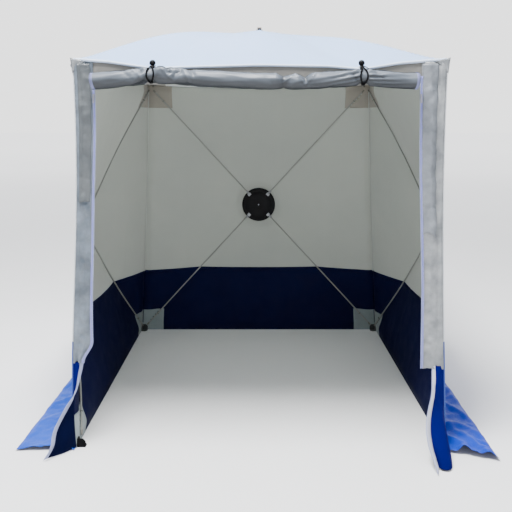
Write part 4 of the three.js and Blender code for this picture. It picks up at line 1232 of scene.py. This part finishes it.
# ------------------------------------------------------------------ ties: elastic loops under the roll, ball toggles above
for side, tx in (("left", TIES[0]), ("right", TIES[1])):
    hz_t = float(hem_z(tx))
    ball_c = np.array([tx, FRONT - .0190, 1.794]) + shift
    # a flattened ball toggle with a bore and a moulded ring
    prof = []
    R = .0148
    for a in np.linspace(-math.pi / 2, math.pi / 2, 25):
        r_ = R * math.cos(a)
        if abs(a) < .12:
            r_ -= .0006
        prof.append((max(r_, 0.0) if abs(a) < math.pi / 2 - 1e-6 else 0.0, R * math.sin(a)))
    b = lathe(f"tie_ball_{side}_ball", prof, Vector(ball_c), Vector((1, 0, 0)), Vector((0, 1, 0)), Vector((0, 0, 1)), [M["ball"]], seg=40)
    recalc(b)
    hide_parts(f"tie_ball_{side}")
    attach(b, "shelter")
    # two strands from the ball round the roll, crossing under it
    zc_ = float(roll_z(tx))
    rp = .0385 * .83 + .0052
    strands = []
    for kx in (-1, 1):
        pts = []
        for t in np.linspace(0, 1, 40):
            a = math.radians(62) - t * math.radians(62 + 180 + 62)
            y_ = ROLL_Y + rp * math.cos(a + math.radians(0)) * -1 * -1
            z_ = zc_ + rp * math.sin(a)
            pts.append(np.array([tx + kx * (.0085 * (math.cos(math.pi * t) ** 2) + .0008), y_, z_]))
        start = ball_c - shift + np.array([kx * .0050, -.002, -.0125])
        end = ball_c - shift + np.array([kx * .0030, .004, -.0130])
        # front run: from the ball forward and down over the roll's face; back run: up behind the roll
        front_first = [p_ for p_ in pts if p_[1] <= ROLL_Y + 1e-4]
        loop_pts = []
        for t in np.linspace(0, 1, 44):
            a = math.radians(112) + t * math.radians(360 - 112 - 62 + 5)
            loop_pts.append(np.array([tx + kx * (.0125 * math.sin(math.pi * min(t * 1.45, 1)) ** .8 + .0036), ROLL_Y + rp * math.cos(a), zc_ + rp * math.sin(a)]))
        lead = [start * (1 - t) + loop_pts[0] * t for t in (0, .33, .66)]
        tail = [loop_pts[-1] * (1 - t) + end * t for t in (.34, .67, 1)]
        path = np.array(lead + loop_pts + tail) + shift
        # smooth the joins
        for _ in range(3):
            path[1:-1] = (path[:-2] + 2 * path[1:-1] + path[2:]) / 4
        strands.append(path)
    o = None
    for i, path in enumerate(strands):
        o2 = tube(f"tie_elastic_{side}" if i == 0 else f"tie_elastic_{side}_2", path, .0037, [M["elastic"]], sides=10)
        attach(o2, "shelter")
        if i == 0:
            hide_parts(f"tie_loop_{side}")
    knot = lathe(f"tie_knot_{side}", [(0, -.005), (.0040, -.0040), (.0052, 0), (.0040, .0040), (0, .005)], Vector(ball_c + np.array([0, .001, -.0155])), Vector((1, 0, 0)), Vector((0, 1, 0)), Vector((0, 0, 1)), [M["elastic"]], seg=20)
    recalc(knot)
    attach(knot, "shelter")
    # sewn tab that holds the ball's cord to the hem
    P = np.array([[(tx + dx, FRONT - .0098 - .0014 * (1 - abs(dx) / .014) - .0007 * j, hz_t + .012 - .030 * j / 5) for dx in (-.014, -.007, 0, .007, .014)] for j in range(6)]) + shift
    tb = grid_object(f"tie_tab_{side}", P, [M["binding"]], np.stack([P[..., 0], P[..., 2]], -1), outward=(0, -1, 0))
    solidify(tb, .0012, 0)
    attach(tb, "shelter")
# the right tie's loose end
tx = TIES[1]
p0 = np.array([tx, FRONT - .021, 1.780])
path = np.array([p0, p0 + [.012, -.008, -.002], p0 + [.026, -.012, -.009], p0 + [.034, -.010, -.021], p0 + [.036, -.008, -.033]]) + shift
tt = np.linspace(0, 4, 28)
path = np.stack([np.interp(tt, range(5), path[:, i]) for i in range(3)], -1)
for _ in range(6):
    path[1:-1] = (path[:-2] + 2 * path[1:-1] + path[2:]) / 4
o = tube("tie_tail_right", path, .0021, [M["elastic"]], sides=8)
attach(o, "shelter")

# ------------------------------------------------------------------ zip sliders and their tabs
for side, sg in (("left", -1), ("right", 1)):
    cx = ZIPS[side] + sg * .000
    prof = [(-.0056, 1.6295), (-.0058, 1.634), (-.0044, 1.640), (-.0058, 1.6465), (-.0040, 1.6505), (.0040, 1.6505), (.0058, 1.6465), (.0044, 1.640), (.0058, 1.634), (.0056, 1.6295)]
    body = []
    for y0, y1, tag in ((-.8757, -.8733, "front"), (-.8702, -.8680, "back")):
        vv = [(cx + a, y + SY, z) for y in (y0, y1) for a, z in prof]
        k = len(prof)
        ff = [tuple(range(k)), tuple(range(2 * k - 1, k - 1, -1))] + [(j, (j + 1) % k, (j + 1) % k + k, j + k) for j in range(k)]
        b = mesh_object(f"zip_slider_{side}_{tag}", vv, ff, [M["slider"]], smooth=False)
        recalc(b)
        bevel(b, .0005, 2)
        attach(b, f"zip_slider_{side}")
        if tag == "front":
            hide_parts(f"zip_slider_{side}")
    v, f = box_mesh((cx - .0016, -.8735 + SY, 1.6420), (cx + .0016, -.8700 + SY, 1.6500))
    b = mesh_object(f"zip_slider_{side}_neck", v, f, [M["slider"]], smooth=False)
    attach(b, f"zip_slider_{side}")
    a = np.linspace(0, math.pi, 14)
    path = np.stack([cx + 0 * a, -.8757 + SY - .0026 * np.sin(a), 1.6405 + .0045 * np.cos(a)], -1)
    b = tube(f"zip_slider_{side}_bail", path, .0009, [M["slider"]], sides=8, up=(1, 0, 0))
    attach(b, f"zip_slider_{side}")
    # tab: a flat tongue with an eye at the top
    pr = [(-.0045, 1.610), (-.0040, 1.6085), (.0040, 1.6085), (.0045, 1.610), (.0048, 1.622), (.0036, 1.636), (.0034, 1.643), (.0026, 1.6448), (-.0026, 1.6448), (-.0034, 1.643), (-.0036, 1.636), (-.0048, 1.622)]
    k = len(pr)
    vv = [(cx + a_, y + SY, z) for y in (-.8790, -.8774) for a_, z in pr]
    ff = [tuple(range(k)), tuple(range(2 * k - 1, k - 1, -1))] + [(j, (j + 1) % k, (j + 1) % k + k, j + k) for j in range(k)]
    b = mesh_object(f"zip_pull_{side}_tab", vv, ff, [M["slider"]], smooth=False)
    recalc(b)
    v, f = box_mesh((cx - .0018, -.8800 + SY, 1.6385), (cx + .0018, -.8765 + SY, 1.6425))
    cut = mesh_object("cut", v, f)
    recalc(cut)
    m_ = b.modifiers.new("eye", "BOOLEAN")
    m_.operation = "DIFFERENCE"
    m_.solver = "EXACT"
    m_.object = cut
    apply_all(b)
    bpy.data.objects.remove(cut)
    bevel(b, .0004, 2)
    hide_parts(f"zip_pull_{side}")
    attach(b, f"zip_pull_{side}")

# ------------------------------------------------------------------ skirts: thin film laid out on the ice
def skirt(name, node, A, B, Cc, D, rows, cols, seed, front_wave=0.0, amp=1.0):
    """Film between the wall's foot A-D and its outer edge B-C, rucked where it was thrown out."""
    A, B, Cc, D = (np.array(v, float) for v in (A, B, Cc, D))
    u = np.linspace(0, 1, cols)[None, :, None]
    v = np.linspace(0, 1, rows)[:, None, None]
    P2 = (A * (1 - u) + B * u) * (1 - v) + (D * (1 - u) + Cc * u) * v
    X, Y = P2[..., 0], P2[..., 1]
    along = v[..., 0] * np.linalg.norm(D - A) + 0 * X
    out = u[..., 0] * np.linalg.norm(B - A) + 0 * X
    e = np.stack([along * 5.5 + seed, out * 5.0, 0 * X + seed], -1)
    base = .5 + .5 * fbm(e, 2)
    # radiating rucks across the skirt and small crumples
    ruck = np.clip(fbm(np.stack([along * 9 + seed * 2 + .8 * perlin(e * 1.5), out * 1.6, 0 * X + 2], -1), 2), 0, 1)
    fine = ridged(np.stack([along * 16 + seed, out * 15, 0 * X + 5], -1), 2)
    slant = np.clip(1 - np.abs(perlin(np.stack([along * 4.2 + out * 5.5 + seed * 3, along * .6 - out * 1.5, 0 * X + 6], -1))) * 6, 0, 1)
    h = .0035 + amp * (.006 * base + .024 * ruck + .013 * slant + .005 * fine)
    uu = u[..., 0] + 0 * X
    h = h * (sm(uu / .08) * .9 + .1) * (1 - .6 * sm((uu - .90) / .1))
    if front_wave:
        vv_ = v[..., 0] + 0 * X
        h = h + .75 * front_wave * np.exp(-(vv_ / .030) ** 2) * np.exp(-((uu - .34) / .13) ** 2) + front_wave * .5 * np.exp(-((vv_ - .01) / .03) ** 2) * np.exp(-((uu - .78) / .12) ** 2)
    # outer edge is not straight
    w_out = .010 * fbm(np.stack([along * 3 + seed, 0 * X, 0 * X + 9], -1), 2)
    dirv = (B - A) / np.linalg.norm(B - A)
    X = X - dirv[0] * (np.abs(w_out) + .004) * uu ** 3
    Y = Y - dirv[1] * (np.abs(w_out) + .004) * uu ** 3
    # the front edge wanders
    Y = Y + (.010 * fbm(np.stack([out * 8 + seed, 0 * X, 0 * X + 4], -1), 2) * np.exp(-(v[..., 0] / .04) ** 2)) * uu
    Pp = np.stack([X, Y, np.maximum(h, .0012)], -1) + shift
    return Pp, along, out


for name, pts, rows, cols, seed, wave, amp in (
        ("left", ((-.8615, -.885), (-1.134, -.888), (-1.112, 1.086), (-.867, .864)), 160, 28, 2.3, .004, .9),
        ("right", ((.8615, -.905), (1.078, -.985), (1.106, 1.086), (.867, .864)), 160, 28, 8.1, .050, 1.0),
        ("back", ((-.866, .864), (-1.100, 1.088), (1.100, 1.088), (.866, .864)), 150, 26, 5.2, 0.0, .8)):
    Pp, al, ou = skirt(name, f"skirt_{name}", *pts, rows, cols, seed, wave, amp)
    o = grid_object(f"skirt_{name}_film", Pp, [M["skirt_r"] if name == "right" else M["skirt"], M["skirt_in"]], np.stack([ou, al], -1), outward=(0, 0, 1))
    solidify(o, .0006, 0, inner=1)
    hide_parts(f"skirt_{name}")
    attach(o, "shelter")

# ------------------------------------------------------------------ the ring at the roof's front left corner
c0 = C["FTL"] + np.array([.004, -.0075, -.030])
a = np.linspace(0, 2 * math.pi, 29)[:-1]
o = tube("corner_ring", np.stack([c0[0] + .0125 * np.sin(a), c0[1] + 0 * a, c0[2] + .0125 * np.cos(a)], -1) + shift, .0019, [M["slider"]], sides=8, closed=True, up=(0, 1, 0))
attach(o, "shelter")
P = np.array([[(c0[0] + dx, c0[1] + .0030 + dy, c0[2] + .010 + .016 * j / 4) for dx, dy in ((-.007, 0), (0, -.0008), (.007, 0))] for j in range(5)]) + shift
o = grid_object("corner_ring_tab", P, [M["webbing"]], np.stack([P[..., 0], P[..., 2]], -1), outward=(0, -1, 0))
solidify(o, .0014, 0)
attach(o, "shelter")

for side, sg in (("left", -1), ("right", 1)):
    c0 = C["FTL" if sg < 0 else "FTR"]
    r_, c_ = 7, 7
    a = np.linspace(0, 1, r_)[:, None]
    b_ = np.linspace(0, 1, c_)[None]
    X = c0[0] + sg * (.011 * (1 - a) * (1 - b_ * .8)) - sg * b_ * .060 * (1 - .5 * a)
    Y = FRONT - .0135 + .004 * a + .0022 * np.sin(b_ * 9 + a * 5)
    Zz = c0[2] + .006 - a * .075 * (1 - .72 * b_) - .018 * b_
    P = np.stack([X + 0 * a, Y + 0 * b_, Zz], -1) + shift
    o = grid_object(f"roof_corner_fold_{side}", P, [M["strip"]], np.stack([P[..., 0], P[..., 2]], -1), outward=(0, -1, 0))
    solidify(o, .0010, 0)
    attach(o, "shelter")

# ------------------------------------------------------------------ seam stitches on the walls
for key in ("back", "left", "right"):
    ts = seam_t(key, S1)
    Pm, w, x, y = wall_surface(key, np.clip(S1, -.992, .992)[None], ts[None] + .006, lift=.0006)
    st = stitches(f"seam_{key}_outside", Pm[0], WALLS[key]["n"], step=.010, long=.006)
    lo = Pm[0]
    # these follow the cloth over the hub
    run = np.array([v.co[:] for v in st.data.vertices])
    d2 = ((run[:, None] - lo[None]) ** 2).sum(-1)
    blend_to_hub(st, key, w[0][d2.argmin(1)])
    Pi, w, x, y = wall_surface(key, np.clip(S1, -.992, .992)[None], ts[None] + np.array([[-.011], [.001]]) / .9, lift=-.0030)
    tp = grid_object(f"seam_{key}_tape", Pi, [M["navy_in"]], np.stack([x + 1, y + 1], -1), outward=-WALLS[key]["n"])
    solidify(tp, .0006, 0)
    blend_to_hub(tp, key, w)

# ------------------------------------------------------------------ floor, light
floor_m, nt, b = nodes_of("floor")
n1 = noise_tex(nt, tex_object(nt, 1.0), 0.8, 4.0)
nt.links.new(ramp(nt, n1, [(0.3, (.90, .903, .906)), (0.7, (.93, .932, .935))]), b.inputs["Base Color"])
b.inputs["Roughness"].default_value = 1.0
b.inputs["Specular IOR Level"].default_value = 0.0
# the sweep of the studio: the floor glows a little with distance, so that it meets the background
dist = nt.nodes.new("ShaderNodeVectorMath")
dist.operation = "LENGTH"
nt.links.new(tex_object(nt, 1.0), dist.inputs[0])
far = maths(nt, "DIVIDE", dist.outputs["Value"], 40.0, clamp=True)
nt.links.new(ramp(nt, far, [(0.0, (0, 0, 0)), (0.07, (0, 0, 0)), (0.22, (.42, .422, .425)), (0.5, (.85, .853, .856)), (1.0, (1.0, 1.0, 1.0))]), b.inputs["Emission Color"])
b.inputs["Emission Strength"].default_value = 1.15
floor = mesh_object("floor", [(-240, -240, -.0005), (240, -240, -.0005), (240, 240, -.0005), (-240, 240, -.0005)], [(0, 1, 2, 3)], [floor_m], smooth=False)
world = bpy.data.worlds.new("world")
scene.world = world
world.use_nodes = True
bg = world.node_tree.nodes["Background"]
wt_ = world.node_tree
tc_ = wt_.nodes.new("ShaderNodeTexCoord")
sep_ = wt_.nodes.new("ShaderNodeSeparateXYZ")
wt_.links.new(tc_.outputs["Generated"], sep_.inputs[0])
back_ = maths(wt_, "MULTIPLY", maths(wt_, "ADD", sep_.outputs[1], 1.0), 0.5, clamp=True)
band_ = maths(wt_, "SUBTRACT", 1.0, maths(wt_, "MULTIPLY", maths(wt_, "ABSOLUTE", sep_.outputs[2], 0.0), 3.2), clamp=True)
glow_ = maths(wt_, "MAXIMUM", maths(wt_, "MAXIMUM", back_, maths(wt_, "MULTIPLY", band_, 0.90)), maths(wt_, "MULTIPLY", sep_.outputs[2], 0.95))
wt_.links.new(ramp(wt_, glow_, [(0.0, (.11, .115, .125)), (0.50, (.20, .21, .23)), (0.80, (.46, .47, .50)), (0.95, (.99, .995, 1.0))]), bg.inputs[0])
bg.inputs[1].default_value = 2.35


def area(name, at, to, size, power, colour=(1, 1, 1)):
    d = bpy.data.lights.new(name, "AREA")
    d.energy = power
    d.size = size
    d.color = colour
    o = link(bpy.data.objects.new(name, d))
    o.location = at
    o.rotation_euler = (Vector(to) - Vector(at)).to_track_quat("-Z", "Y").to_euler()
    return o


area("top", (-.5, -1.8, 5.2), (0, -.2, 1), 1.5, 620)
area("side", (-4.4, -2.4, 3.6), (0, 0, 1), 1.8, 45)
area("fill", (.9, -5.4, 1.7), (0, .6, .9), 2.0, 22)
